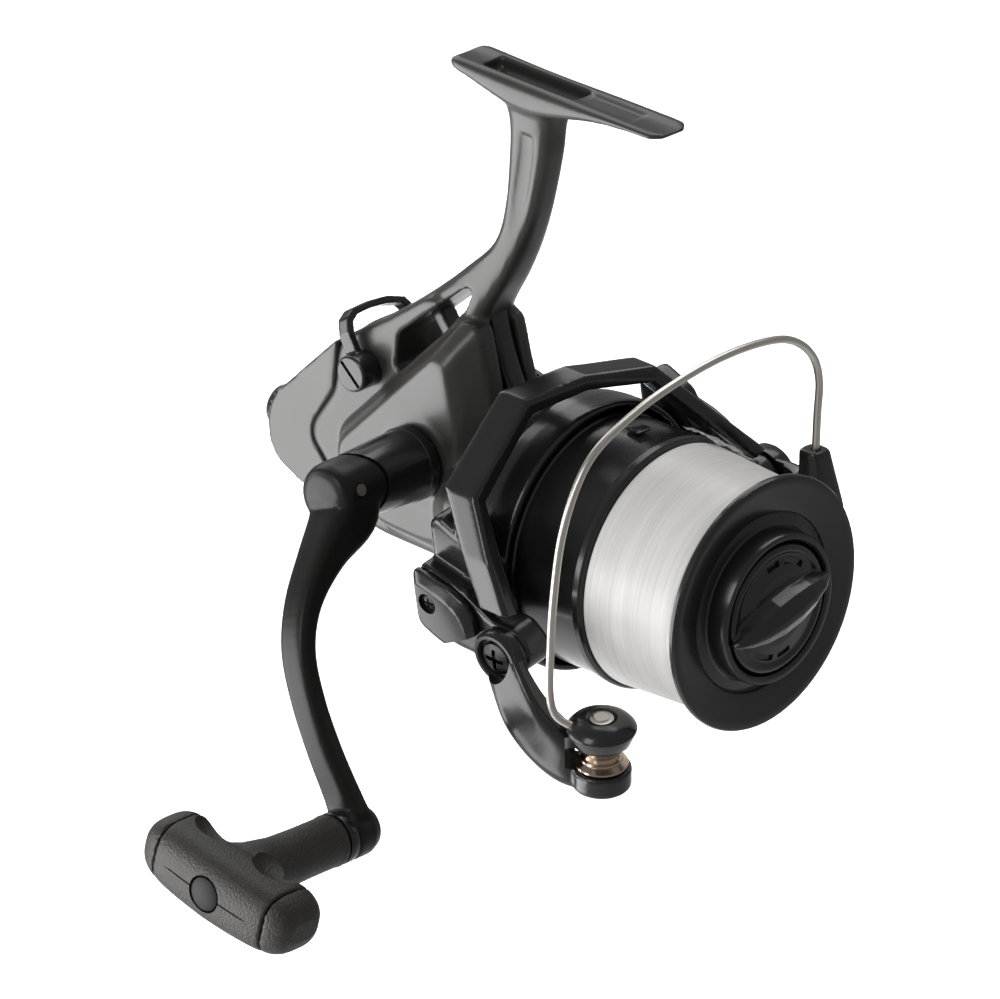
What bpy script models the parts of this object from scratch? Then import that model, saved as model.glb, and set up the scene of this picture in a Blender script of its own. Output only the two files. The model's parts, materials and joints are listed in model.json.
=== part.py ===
"""Bait-feeder spinning reel with a long-cast spool, built as separate pieces.

Metres, +Z up.  The origin is on the seat of the foot, the face that lies
against a rod.  The spool's front faces -Y and the crank comes out at -X.
Most places below are given in millimetres from the centre of the spool's
front lip, in the frame of the empty called lip_centre.
"""

import math

import bmesh
import bpy
from mathutils import Euler, Matrix, Vector

MM = 0.001
GAP = 0.35

# Driving dimensions, millimetres.
SEAT_HEIGHT = 111.0
SEAT_FROM_LIP = 41.0
FOOT_LENGTH = 67.0
FOOT_HALF_WIDTH = 6.8
LIP_RADIUS = 32.0
SKIRT_RADIUS = 31.0
SKIRT_FRONT = 31.5
SKIRT_REAR = 57.0
DRUM_RADIUS = 22.0
DRAG_WELL_RADIUS = 17.0
HUB_BORE = 4.2
SHAFT_RADIUS = 3.85
SHAFT_FRONT = -1.0
SHAFT_REAR = 126.0
CUP_RADIUS = 34.0
CUP_FRONT = 53.0
CUP_REAR = 69.5
PINION_RADIUS = 7.5
CRANK_Y = 98.3
CRANK_Z = 9.9
CRANK_SHAFT_RADIUS = 4.4
GEAR_RADIUS = 15.4
CASE_FRONT = 71.0
COLLAR_START = -17.4
COLLAR_END = -38.4
FOLD_X = -44.0
KNUCKLE_RADIUS = 9.4
ARM_LEAN = math.radians(22.7)
ARM_LENGTH = 77.3
KNOB_INNER_X = -71.3
KNOB_OUTER_X = -123.0
PIVOT_Y = 42.2
PIVOT_DROP = 3.7
PIVOT_TURN = math.radians(11.5)
LEVER_Y = 122.3
LEVER_Z = 24.0
STEPS = 40
SMALL_STEPS = 24

LIP_PLACE = Vector((0.0, -SEAT_FROM_LIP * MM, -SEAT_HEIGHT * MM))
PIVOT_AXIS = Vector((-math.cos(PIVOT_TURN), 0.0, -math.sin(PIVOT_TURN)))
DOWN_AXIS = Vector((math.sin(PIVOT_TURN), 0.0, -math.cos(PIVOT_TURN)))
ARM_AXIS = Vector((0.0, -math.sin(ARM_LEAN), -math.cos(ARM_LEAN)))
FOLD_AXIS = Vector((0.0, math.cos(ARM_LEAN), -math.sin(ARM_LEAN)))
ALONG_X = Euler((0.0, math.radians(90.0), 0.0))
ALONG_Y = Euler((math.radians(-90.0), 0.0, 0.0))

BLACK = ((0.020, 0.020, 0.021), 0.34, 0.0)
CASTING = ((0.030, 0.030, 0.032), 0.38, 0.0)
RUBBER = ((0.045, 0.042, 0.038), 0.62, 0.0)
STEEL = ((0.62, 0.60, 0.57), 0.28, 1.0)
BRASS = ((0.60, 0.44, 0.20), 0.32, 1.0)
ALLOY = ((0.42, 0.42, 0.43), 0.40, 1.0)
BRONZE = ((0.52, 0.36, 0.22), 0.25, 1.0)
LINE = ((0.86, 0.86, 0.83), 0.35, 0.0)
FELT = ((0.20, 0.18, 0.15), 0.90, 0.0)


def clear_scene():
    """Remove what the file was opened with."""
    for old in list(bpy.data.objects):
        bpy.data.objects.remove(old, do_unlink=True)


def new_collection(name):
    """Make a collection and link it to the scene."""
    made = bpy.data.collections.new(name)
    bpy.context.scene.collection.children.link(made)
    return made


clear_scene()
REEL = new_collection("spinning_reel")
CUTTERS = new_collection("cutters")
MATERIALS = {}


def empty_at(name, place, parent=None):
    """Put an empty in millimetres under its parent."""
    made = bpy.data.objects.new(name, None)
    made.location = Vector(place) * MM
    made.parent = parent
    REEL.objects.link(made)
    return made


LIP = bpy.data.objects.new("lip_centre", None)
LIP.location = LIP_PLACE
REEL.objects.link(LIP)
CRANK_AXIS = empty_at("crank_axis", (0.0, CRANK_Y, CRANK_Z), LIP)
PIVOT_CENTRE = DOWN_AXIS * PIVOT_DROP + Vector((0.0, PIVOT_Y, 0.0))
BAIL_AXIS = empty_at("bail_axis", PIVOT_CENTRE, LIP)
LEVER_AXIS = empty_at("lever_axis", (0.0, LEVER_Y, LEVER_Z), LIP)


def finish_of(name, finish):
    """Return the piece's own material."""
    colour, roughness, metallic = finish
    made = bpy.data.materials.new(name)
    made.use_nodes = True
    shader = made.node_tree.nodes["Principled BSDF"]
    shader.inputs["Base Color"].default_value = (*colour, 1.0)
    shader.inputs["Roughness"].default_value = roughness
    shader.inputs["Metallic"].default_value = metallic
    MATERIALS[name] = made
    return made


def place(made, at, turn, parent):
    """Place an object in millimetres under a parent."""
    made.location = Vector(at) * MM
    if isinstance(turn, Matrix):
        made.rotation_euler = turn.to_euler()
    else:
        made.rotation_euler = turn
    made.parent = parent


def keep(name, mesh, finish, at=(0.0, 0.0, 0.0), turn=Euler(), parent=LIP):
    """Make a visible piece from a mesh."""
    made = bpy.data.objects.new(name, mesh)
    REEL.objects.link(made)
    place(made, at, turn, parent)
    mesh.materials.clear()
    mesh.materials.append(finish_of(name, finish))
    return made


def cutter(name, mesh, at=(0.0, 0.0, 0.0), turn=Euler(), parent=LIP):
    """Make a hidden helper for a boolean."""
    made = bpy.data.objects.new(name, mesh)
    CUTTERS.objects.link(made)
    place(made, at, turn, parent)
    made.hide_render = True
    made.display_type = "WIRE"
    return made


def boolean(target, tool, operation="DIFFERENCE"):
    """Cut, join or cross one object with another."""
    step = target.modifiers.new(operation.lower() + "_" + tool.name, "BOOLEAN")
    step.operation = operation
    step.object = tool
    step.solver = "EXACT"


def bevelled(target, width, segments=1, angle=30.0):
    """Round a piece's edges."""
    step = target.modifiers.new("rounding", "BEVEL")
    step.width = width * MM
    step.segments = segments
    step.limit_method = "ANGLE"
    step.angle_limit = math.radians(angle)
    step.harden_normals = False
    return step


def turned_mesh(profile, steps=STEPS, closed=False):
    """Spin a profile of (radius, along) points about local Z."""
    mesh = bpy.data.meshes.new("profile")
    points = [(radius * MM, 0.0, along * MM) for radius, along in profile]
    edges = [(i, i + 1) for i in range(len(points) - 1)]
    if closed:
        edges.append((len(points) - 1, 0))
    mesh.from_pydata(points, edges, [])
    mesh["steps"] = steps
    return mesh


def spin(made):
    """Give a profile object its Screw modifier."""
    step = made.modifiers.new("turning", "SCREW")
    step.axis = "Z"
    step.angle = math.radians(360.0)
    step.steps = made.data["steps"]
    step.render_steps = made.data["steps"]
    step.use_merge_vertices = True
    step.merge_threshold = 0.00001
    step.use_smooth_shade = True
    return made


def turned(name, profile, finish, at=(0.0, 0.0, 0.0), turn=ALONG_Y, steps=STEPS, closed=False,
           parent=LIP):
    """Make a turned piece; the profile runs down its outer side."""
    return spin(keep(name, turned_mesh(profile, steps, closed), finish, at, turn, parent))


def turned_cutter(name, profile, at=(0.0, 0.0, 0.0), turn=ALONG_Y, steps=STEPS, parent=LIP):
    """Make a turned cutter."""
    return spin(cutter(name, turned_mesh(profile, steps), at, turn, parent))


def rod(radius, low, high):
    """Profile of a plain solid rod."""
    return [(0.0, high), (radius, high), (radius, low), (0.0, low)]


def ring(outer, inner, low, high):
    """Closed profile of a plain ring."""
    return [(outer, high), (outer, low), (inner, low), (inner, high)]


def plate_mesh(outline, half, holes=()):
    """Extrude a flat outline in XY by half each way, as a clean mesh."""
    curve = bpy.data.curves.new("outline", "CURVE")
    curve.dimensions = "2D"
    curve.fill_mode = "BOTH"
    curve.extrude = half * MM
    for loop in (outline, *holes):
        spline = curve.splines.new("POLY")
        spline.points.add(len(loop) - 1)
        spline.use_cyclic_u = True
        for point, (x, y) in zip(spline.points, loop):
            point.co = (x * MM, y * MM, 0.0, 1.0)
    return mesh_from_curve(curve)


def mesh_from_curve(curve):
    """Turn a curve into a mesh with its caps welded."""
    holder = bpy.data.objects.new("outline", curve)
    bpy.context.scene.collection.objects.link(holder)
    bpy.context.view_layer.update()
    graph = bpy.context.evaluated_depsgraph_get()
    mesh = bpy.data.meshes.new_from_object(holder.evaluated_get(graph))
    bpy.data.objects.remove(holder, do_unlink=True)
    work = bmesh.new()
    work.from_mesh(mesh)
    bmesh.ops.remove_doubles(work, verts=work.verts, dist=0.00001)
    bmesh.ops.recalc_face_normals(work, faces=work.faces)
    work.to_mesh(mesh)
    work.free()
    return mesh


def side_plate_mesh(outline, low_x, high_x):
    """Extrude a (Y, Z) outline between two X places."""
    mesh = plate_mesh(outline, (high_x - low_x) / 2.0)
    turn = Matrix(((0.0, 0.0, 1.0, 0.0), (1.0, 0.0, 0.0, 0.0), (0.0, 1.0, 0.0, 0.0), (0.0, 0.0, 0.0, 1.0)))
    mesh.transform(Matrix.Translation(((high_x + low_x) / 2.0 * MM, 0.0, 0.0)) @ turn)
    return mesh


def front_plate_mesh(outline, low_y, high_y):
    """Extrude an (X, Z) outline between two Y places."""
    mesh = plate_mesh(outline, (high_y - low_y) / 2.0)
    turn = Matrix(((1.0, 0.0, 0.0, 0.0), (0.0, 0.0, -1.0, 0.0), (0.0, 1.0, 0.0, 0.0), (0.0, 0.0, 0.0, 1.0)))
    mesh.transform(Matrix.Translation((0.0, (high_y + low_y) / 2.0 * MM, 0.0)) @ turn)
    return mesh


def box_mesh(low, high):
    """Make a box between two corners."""
    work = bmesh.new()
    bmesh.ops.create_cube(work, size=1.0)
    size = Vector(high) - Vector(low)
    middle = (Vector(high) + Vector(low)) / 2.0
    bmesh.ops.scale(work, verts=work.verts, vec=size * MM)
    bmesh.ops.translate(work, verts=work.verts, vec=middle * MM)
    mesh = bpy.data.meshes.new("box")
    work.to_mesh(mesh)
    work.free()
    return mesh


def wire_mesh(points, radius, resolution=2, tapers=None):
    """Sweep a round section along a list of points, with caps."""
    curve = bpy.data.curves.new("wire", "CURVE")
    curve.dimensions = "3D"
    curve.bevel_depth = radius * MM
    curve.bevel_resolution = resolution
    curve.use_fill_caps = True
    spline = curve.splines.new("POLY")
    spline.points.add(len(points) - 1)
    for i, (point, place_of) in enumerate(zip(spline.points, points)):
        point.co = (*(Vector(place_of) * MM), 1.0)
        point.radius = tapers[i] if tapers else 1.0
    return mesh_from_curve(curve)


def smooth_path(points, parts):
    """Read a Catmull-Rom curve through the points."""
    knots = [Vector(p) for p in points]
    ends = [2.0 * knots[0] - knots[1], *knots, 2.0 * knots[-1] - knots[-2]]
    path = []
    for i in range(1, len(ends) - 2):
        before, start, stop, after = ends[i - 1:i + 3]
        for k in range(parts):
            t = k / parts
            path.append(0.5 * (2.0 * start + (stop - before) * t
                               + (2.0 * before - 5.0 * start + 4.0 * stop - after) * t * t
                               + (3.0 * start - before - 3.0 * stop + after) * t ** 3))
    path.append(knots[-1])
    return path


def toothed(teeth, outer, inner):
    """Outline of a plain gear with a flat top and bottom to each tooth."""
    outline = []
    for i in range(teeth):
        for part, radius in ((0.0, inner), (0.3, inner), (0.5, outer), (0.8, outer)):
            angle = 2.0 * math.pi * (i + part) / teeth
            outline.append((radius * math.cos(angle), radius * math.sin(angle)))
    return outline


def circle(radius, count, centre=(0.0, 0.0)):
    """Points of a circle."""
    return [(centre[0] + radius * math.cos(2.0 * math.pi * i / count),
             centre[1] + radius * math.sin(2.0 * math.pi * i / count)) for i in range(count)]


def frame_matrix(x_axis, z_axis):
    """Rotation whose local X and Z lie along two directions."""
    z_unit = z_axis.normalized()
    x_unit = (x_axis - z_unit * x_axis.dot(z_unit)).normalized()
    y_unit = z_unit.cross(x_unit)
    return Matrix((x_unit, y_unit, z_unit)).transposed()


OUTWARD = frame_matrix(Vector((0.0, -1.0, 0.0)), PIVOT_AXIS)


# ---------------------------------------------------------------- casing

STEM_OUTLINE = [
    (70.8, 104.0), (71.6, 93.0), (74.4, 78.0), (78.0, 66.6), (83.0, 57.5), (87.0, 50.0),
    (89.2, 42.0), (88.0, 34.0), (84.0, 29.0), (86.0, 20.0), (112.0, 20.0), (124.0, 34.0),
    (119.0, 38.4), (107.0, 47.2), (99.0, 54.2), (92.5, 60.7), (87.4, 67.5), (85.0, 76.0),
    (84.4, 88.0), (84.6, 100.0), (86.0, 104.0),
]
CORE_OUTLINE = [
    (CASE_FRONT + 4.0, -20.0), (CASE_FRONT + 4.0, 24.0), (84.2, 29.2), (88.3, 34.0), (89.6, 42.0),
    (92.0, 47.0), (104.0, 49.0), (118.0, 38.0), (132.0, 28.4), (133.6, 24.0), (134.0, 15.0),
    (141.0, 4.0), (141.0, -0.5),
    (135.5, -6.0), (129.0, -17.0), (115.0, -18.2), (98.0, -18.4),
]
CHEEK_OUTLINE = [
    (CASE_FRONT + 5.0, -13.0), (CASE_FRONT + 5.0, 22.0), (87.0, 37.0), (94.5, 40.0), (129.5, 3.0),
    (124.0, -8.0), (112.0, -14.0), (90.0, -14.6),
]
CAVITY_OUTLINE = [
    (CASE_FRONT + 7.0, -12.7), (CASE_FRONT + 7.0, 18.0), (88.0, 26.0), (102.0, 27.0), (117.0, 17.5),
    (128.0, 9.0), (128.6, -12.0), (116.0, -14.4), (92.0, -14.6),
]
WINDOW_OUTLINE = [(112.6, 36.0), (95.0, 52.0), (92.4, 52.0), (94.6, 45.6), (109.0, 31.4), (112.4, 29.6)]
BODY_FRONT_VIEW = [
    (-11.0, -22.0), (11.0, -22.0), (17.3, -14.0), (17.5, 12.0), (10.4, 22.0), (8.0, 30.0),
    (7.8, 46.0), (6.4, 58.0), (5.0, 74.0), (5.0, 96.0), (6.2, 106.0), (-6.2, 106.0), (-5.0, 96.0),
    (-5.0, 74.0), (-6.4, 58.0), (-7.8, 46.0), (-8.0, 30.0), (-10.4, 22.0), (-17.5, 12.0), (-17.3, -14.0),
]
CHEEK_FRONT_VIEW = [
    (-17.4, -16.0), (17.4, -16.0), (17.4, 12.0), (12.0, 26.0), (8.6, 38.0), (6.0, 41.0), (-6.0, 41.0),
    (-9.4, 38.0), (-13.6, 28.0), (-17.4, 15.0),
]


def foot_mesh():
    """The foot, tapered from the stem to its thin rounded ends."""
    half = FOOT_LENGTH / 2.0
    middle = 68.5
    outline = [
        (middle - half, 111.0), (middle - half, 109.4), (47.0, 108.0), (61.0, 105.6), (71.0, 103.4),
        (85.4, 103.4), (91.0, 105.2), (middle + half, 109.2), (middle + half, 111.0),
    ]
    return side_plate_mesh(outline, -FOOT_HALF_WIDTH, FOOT_HALF_WIDTH)


def build_housing():
    """Casing, neck, stem and foot, cast in one piece, open at +X for its cover."""
    housing = keep("body_housing", side_plate_mesh(CORE_OUTLINE, -9.6, 9.6), CASTING)
    stem = cutter("stem", side_plate_mesh(STEM_OUTLINE, -8.0, 8.0))
    cheek = cutter("cheek", side_plate_mesh(CHEEK_OUTLINE, -17.0, 17.0))
    bevelled(cheek, 4.0, 1)
    boolean(cheek, cutter("cheek_view", front_plate_mesh(CHEEK_FRONT_VIEW, 60.0, 150.0)), "INTERSECT")
    front_view = cutter("front_view", front_plate_mesh(BODY_FRONT_VIEW, 60.0, 165.0))
    nose = turned_cutter("nose", rod(21.5, CASE_FRONT, CASE_FRONT + 9.0))
    foot = cutter("foot", foot_mesh())
    foot_ends = cutter("foot_ends", plate_mesh(foot_top_outline(), 40.0))
    foot_ends.location = Vector((0.0, 0.0, 100.0)) * MM
    boolean(foot, foot_ends, "INTERSECT")
    boolean(housing, stem, "UNION")
    boolean(housing, front_view, "INTERSECT")
    boolean(housing, cheek, "UNION")
    boolean(housing, nose, "UNION")
    boolean(housing, foot, "UNION")
    boss = turned_cutter("crank_boss", rod(9.4, -17.3, -11.0), (0.0, CRANK_Y, CRANK_Z), ALONG_X)
    boolean(housing, boss, "UNION")
    boolean(housing, cutter("gear_room", side_plate_mesh(CAVITY_OUTLINE, -7.4, 20.0)))
    gear_well = turned_cutter("gear_well", rod(GEAR_RADIUS + 0.8, -11.4, 0.0), (0.0, CRANK_Y, CRANK_Z),
                              ALONG_X)
    boolean(housing, gear_well)
    boolean(housing, cutter("window", side_plate_mesh(WINDOW_OUTLINE, -12.0, 12.0)))
    boolean(housing, cutter("foot_pocket", box_mesh((-3.4, 50.0, 107.4), (3.4, 93.0, 112.0))))
    boolean(housing, turned_cutter("front_bore", rod(PINION_RADIUS + 3.6, 60.0, 82.0), steps=36))
    boolean(housing, turned_cutter("rear_bore", rod(SHAFT_RADIUS + 0.5, 120.0, 150.0), steps=SMALL_STEPS))
    crank_bore = turned_cutter("crank_bore", rod(7.4, -30.0, 0.0), (0.0, CRANK_Y, CRANK_Z), ALONG_X,
                               SMALL_STEPS)
    boolean(housing, crank_bore)
    lever_bore = turned_cutter("lever_bore", rod(2.2, -20.0, 20.0), (0.0, LEVER_Y, LEVER_Z), ALONG_X,
                               SMALL_STEPS)
    boolean(housing, lever_bore)
    return housing


def foot_top_outline():
    """Plan view of the foot with its rounded ends, as (X, Y)."""
    half = FOOT_LENGTH / 2.0
    middle = 68.5
    wide = FOOT_HALF_WIDTH
    corner = 4.2
    outline = []
    for centre_x, centre_y, start in (
            (wide - corner, middle + half - corner, 0.0),
            (corner - wide, middle + half - corner, 90.0),
            (corner - wide, middle - half + corner, 180.0),
            (wide - corner, middle - half + corner, 270.0)):
        for k in range(5):
            angle = math.radians(start + 22.5 * k)
            outline.append((centre_x + corner * math.cos(angle), centre_y + corner * math.sin(angle)))
    return outline


def build_side_cover():
    """Plate that closes the gear room at +X, with a bearing seat."""
    inset = [(y + (98.0 - y) * 0.03, z + (4.0 - z) * 0.03) for y, z in CAVITY_OUTLINE]
    cover = keep("side_cover", side_plate_mesh(inset, 14.0, 16.4), CASTING)
    seat = turned_cutter("seat", rod(9.0, 10.6, 15.0), (0.0, CRANK_Y, CRANK_Z), ALONG_X)
    boolean(cover, seat, "UNION")
    boolean(cover, turned_cutter("seat_bore", rod(7.4, 8.0, 14.6), (0.0, CRANK_Y, CRANK_Z), ALONG_X,
                                 SMALL_STEPS))
    return cover


REAR_OUTLINE = [
    (133.8, 27.0), (134.2, 24.0), (134.6, 15.2), (141.6, 4.2), (141.6, -0.7), (136.1, -6.2),
    (129.6, -16.9), (137.0, -14.8), (146.0, -12.4), (151.6, -10.0), (154.6, -6.6), (155.6, 0.0),
    (154.6, 4.6), (150.6, 9.4), (141.0, 18.6),
]


def build_rear_cover():
    """Tail of the body that holds the free-running drag."""
    cover = keep("rear_cover", side_plate_mesh(REAR_OUTLINE, -12.0, 12.0), CASTING)
    top_view = [(-10.0, 128.0), (-9.6, 140.0), (-7.8, 158.5), (7.8, 158.5), (9.6, 140.0), (10.0, 128.0)]
    plan = cutter("rear_plan", plate_mesh(top_view, 40.0))
    boolean(cover, plan, "INTERSECT")
    bevelled(cover, 2.2, 1, 50.0)
    boolean(cover, turned_cutter("rear_well", rod(6.6, 144.0, 170.0)))
    boolean(cover, turned_cutter("rear_way", rod(SHAFT_RADIUS + 0.5, 128.0, 150.0), steps=SMALL_STEPS))
    return cover


def build_rear_knob():
    """Small knob that sets the free-running drag, with its spindle."""
    profile = [
        (0.0, 159.4), (3.0, 159.0), (5.2, 157.4), (6.1, 155.4), (6.1, 146.0), (2.9, 146.0), (2.9, 136.0),
        (0.0, 136.0),
    ]
    turned("rear_drag_knob", profile, BLACK, steps=SMALL_STEPS)


def build_front_guard():
    """Narrow guard on the front of the neck, above the rotor."""
    outline = [(83.0, 29.6), (87.4, 35.0), (88.6, 42.0), (86.6, 48.6), (84.8, 47.6), (85.4, 41.0),
               (83.4, 35.4), (80.4, 31.0)]
    guard = keep("front_guard", side_plate_mesh(outline, -3.4, 3.4), BLACK)
    guard.location = Vector((0.0, -2.2, 0.0)) * MM
    return guard


def build_bearings():
    """Ball bearings of the crank and pinion, and the one-way clutch."""
    bearing = ring(7.0, CRANK_SHAFT_RADIUS + GAP, -15.6, -12.0)
    turned("crank_bearing_left", bearing, STEEL, (0.0, CRANK_Y, CRANK_Z), ALONG_X, SMALL_STEPS, True)
    bearing = ring(7.0, CRANK_SHAFT_RADIUS + GAP, 11.0, 14.2)
    turned("crank_bearing_right", bearing, STEEL, (0.0, CRANK_Y, CRANK_Z), ALONG_X, SMALL_STEPS, True)
    bearing = ring(PINION_RADIUS + 3.2, PINION_RADIUS + GAP, 78.4, 81.6)
    turned("pinion_bearing", bearing, STEEL, steps=SMALL_STEPS, closed=True)
    clutch = ring(PINION_RADIUS + 3.2, PINION_RADIUS + GAP, 71.6, 77.8)
    turned("anti_reverse_clutch", clutch, ALLOY, steps=SMALL_STEPS, closed=True)


def build_screws():
    """Screws of the side cover, each with a cross slot."""
    for i, (y, z) in enumerate(((80.5, 0.0), (104.0, -14.4), (121.0, 14.0)), start=1):
        screw = turned(f"side_cover_screw_{i}", [(0.0, 17.6), (1.8, 17.6), (2.0, 16.75), (0.0, 16.75)],
                       STEEL, (0.0, y, z), ALONG_X, SMALL_STEPS)
        slot = cutter(f"slot_{i}", box_mesh((17.1, y - 1.4, z - 0.25), (18.0, y + 1.4, z + 0.25)))
        boolean(screw, slot)
    cap_profile = [(0.0, 19.2), (5.0, 19.2), (6.2, 18.2), (6.2, 16.75), (0.0, 16.75)]
    turned("screw_cap", cap_profile, BLACK, (0.0, CRANK_Y, CRANK_Z), ALONG_X, SMALL_STEPS)


def build_oscillation():
    """Guide rail, slider and the gear that carries the spool to and fro."""
    turned("oscillation_guide_rail", rod(1.2, 90.0, 127.6), STEEL, (0.0, 0.0, -9.0), steps=16)
    slider = keep("oscillation_slider", box_mesh((-5.0, 113.0, -12.0), (5.0, 120.0, 5.0)), BRASS)
    boolean(slider, turned_cutter("slider_rail", rod(1.6, 105.0, 130.0), (0.0, 0.0, -9.0), steps=16))
    boolean(slider, turned_cutter("slider_shaft", rod(SHAFT_RADIUS + GAP, 105.0, 130.0), steps=24))
    turn = ALONG_X
    gear = keep("oscillation_gear", plate_mesh(toothed(20, 9.6, 8.4), 1.2, [circle(1.8, 12)]), BRASS,
                (8.6, 116.6, 3.2), turn)
    pin = turned_cutter("gear_pin", rod(1.0, -2.0, 0.0), (8.6, 122.6, 3.2), ALONG_X, 12)
    boolean(gear, pin, "UNION")
    turned("oscillation_stud", rod(1.4, 7.0, 13.6), STEEL, (0.0, 116.6, 3.2), ALONG_X, 16)
    keep("crank_small_gear", plate_mesh(toothed(14, 8.2, 7.2), 1.2, [circle(4.8, 24)]), BRASS,
         (8.6, CRANK_Y, CRANK_Z), turn)


# ---------------------------------------------------------------- crank and handle


def build_crank():
    """Drive gear on its shaft, and the collar that turns outside."""
    gear = keep("drive_gear", plate_mesh(toothed(43, GEAR_RADIUS, GEAR_RADIUS - 1.2), 1.2,
                                         [circle(CRANK_SHAFT_RADIUS + GAP, 24)]), ALLOY,
                (-9.4, CRANK_Y, CRANK_Z), ALONG_X)
    turned("crank_shaft", rod(CRANK_SHAFT_RADIUS, COLLAR_START + GAP, 13.4), STEEL,
           (0.0, CRANK_Y, CRANK_Z), ALONG_X, SMALL_STEPS)
    collar = [(0.0, COLLAR_START - GAP), (8.9, COLLAR_START - GAP), (9.3, COLLAR_START - 1.2),
              (8.0, COLLAR_END - 3.0), (0.0, COLLAR_END - 3.0)]
    sleeve = turned("crank_collar", collar, BLACK, (0.0, CRANK_Y, CRANK_Z), ALONG_X, 32)
    pin_turn = FOLD_AXIS.to_track_quat("Z", "Y").to_euler()
    scoop = turned_cutter("collar_scoop", rod(KNUCKLE_RADIUS + GAP, -14.0, 14.0), (FOLD_X, 0.0, 0.0),
                          pin_turn, 32, CRANK_AXIS)
    boolean(sleeve, scoop)
    return gear


ARM_PATH = [
    (-43.0, -4.0), (-43.6, 0.0), (-46.6, 6.0), (-55.0, 13.4), (-64.0, 21.4), (-70.0, 31.4),
    (-71.0, 43.5), (-69.4, 56.7), (-67.6, 69.0), (-66.4, ARM_LENGTH),
]
ARM_HALF_DEPTH = (8.0, 8.2, 8.2, 6.4, 5.2, 4.7, 4.6, 4.6, 4.6, 4.7)
ARM_HALF_WIDTH = (7.6, 7.8, 7.0, 5.0, 4.0, 3.6, 3.5, 3.7, 4.8, 5.8)


def arm_place(x, along, across=0.0):
    """Place of a point of the handle arm in the crank's frame."""
    return Vector((x, 0.0, 0.0)) + ARM_AXIS * along + FOLD_AXIS * across


def build_handle_arm():
    """Bowed arm with a round eye at the knob and a hub at the crank."""
    work = bmesh.new()
    sections = []
    count = 12
    for i, (x, along) in enumerate(ARM_PATH):
        before = Vector(ARM_PATH[max(i - 1, 0)])
        after = Vector(ARM_PATH[min(i + 1, len(ARM_PATH) - 1)])
        run = (after - before).normalized()
        side = Vector((-run.y, run.x))
        section = []
        for k in range(count):
            angle = 2.0 * math.pi * (k + 0.5) / count
            deep = ARM_HALF_DEPTH[i] * math.cos(angle)
            wide = ARM_HALF_WIDTH[i] * math.sin(angle)
            centre = Vector((x, along)) + side * deep
            section.append(work.verts.new(arm_place(centre.x, centre.y, wide) * MM))
        sections.append(section)
    for lower, upper in zip(sections, sections[1:]):
        for k in range(count):
            n = (k + 1) % count
            work.faces.new((lower[k], lower[n], upper[n], upper[k]))
    work.faces.new(reversed(sections[0]))
    work.faces.new(sections[-1])
    bmesh.ops.recalc_face_normals(work, faces=work.faces)
    mesh = bpy.data.meshes.new("arm")
    work.to_mesh(mesh)
    work.free()
    arm = keep("handle_arm", mesh, BLACK, parent=CRANK_AXIS)
    hub = turned_cutter("hub", [(0.0, -34.0), (7.9, -34.0), (8.1, -44.0), (7.4, -49.0), (4.4, -51.6),
                                (0.0, -52.2)], turn=ALONG_X, steps=24, parent=CRANK_AXIS)
    pin_turn = FOLD_AXIS.to_track_quat("Z", "Y").to_euler()
    knuckle = turned_cutter("knuckle", rod(KNUCKLE_RADIUS, -14.0, 14.0), (FOLD_X, 0.0, 0.0), pin_turn, 32,
                            CRANK_AXIS)
    boolean(hub, knuckle, "INTERSECT")
    eye_place = ARM_AXIS * ARM_LENGTH
    eye = turned_cutter("eye", [(0.0, -60.6), (4.6, -61.4), (6.4, -64.4), (6.4, -70.9), (0.0, -70.9)],
                        eye_place, ALONG_X, 24, CRANK_AXIS)
    boolean(arm, hub, "UNION")
    boolean(arm, eye, "UNION")
    eye_face = turned_cutter("eye_face", rod(9.0, -90.0, -70.95), eye_place, ALONG_X, parent=CRANK_AXIS)
    boolean(arm, eye_face)
    boolean(arm, turned_cutter("eye_bore", rod(2.6, -80.0, -64.0), eye_place, ALONG_X, 16, CRANK_AXIS))
    pin_place = Vector((FOLD_X, 0.0, 0.0))
    boolean(arm, turned_cutter("pin_bore", rod(1.9, -20.0, 20.0), pin_place, pin_turn, 16, CRANK_AXIS))
    turned("fold_pin", rod(1.5, -8.4, 8.4), STEEL, pin_place, pin_turn, 16, parent=CRANK_AXIS)
    turned("knob_spindle", rod(2.2, KNOB_OUTER_X + 8.0, -64.6), STEEL, eye_place, ALONG_X, 16,
           parent=CRANK_AXIS)


KNOB_LEAN = math.radians(6.5)


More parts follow.
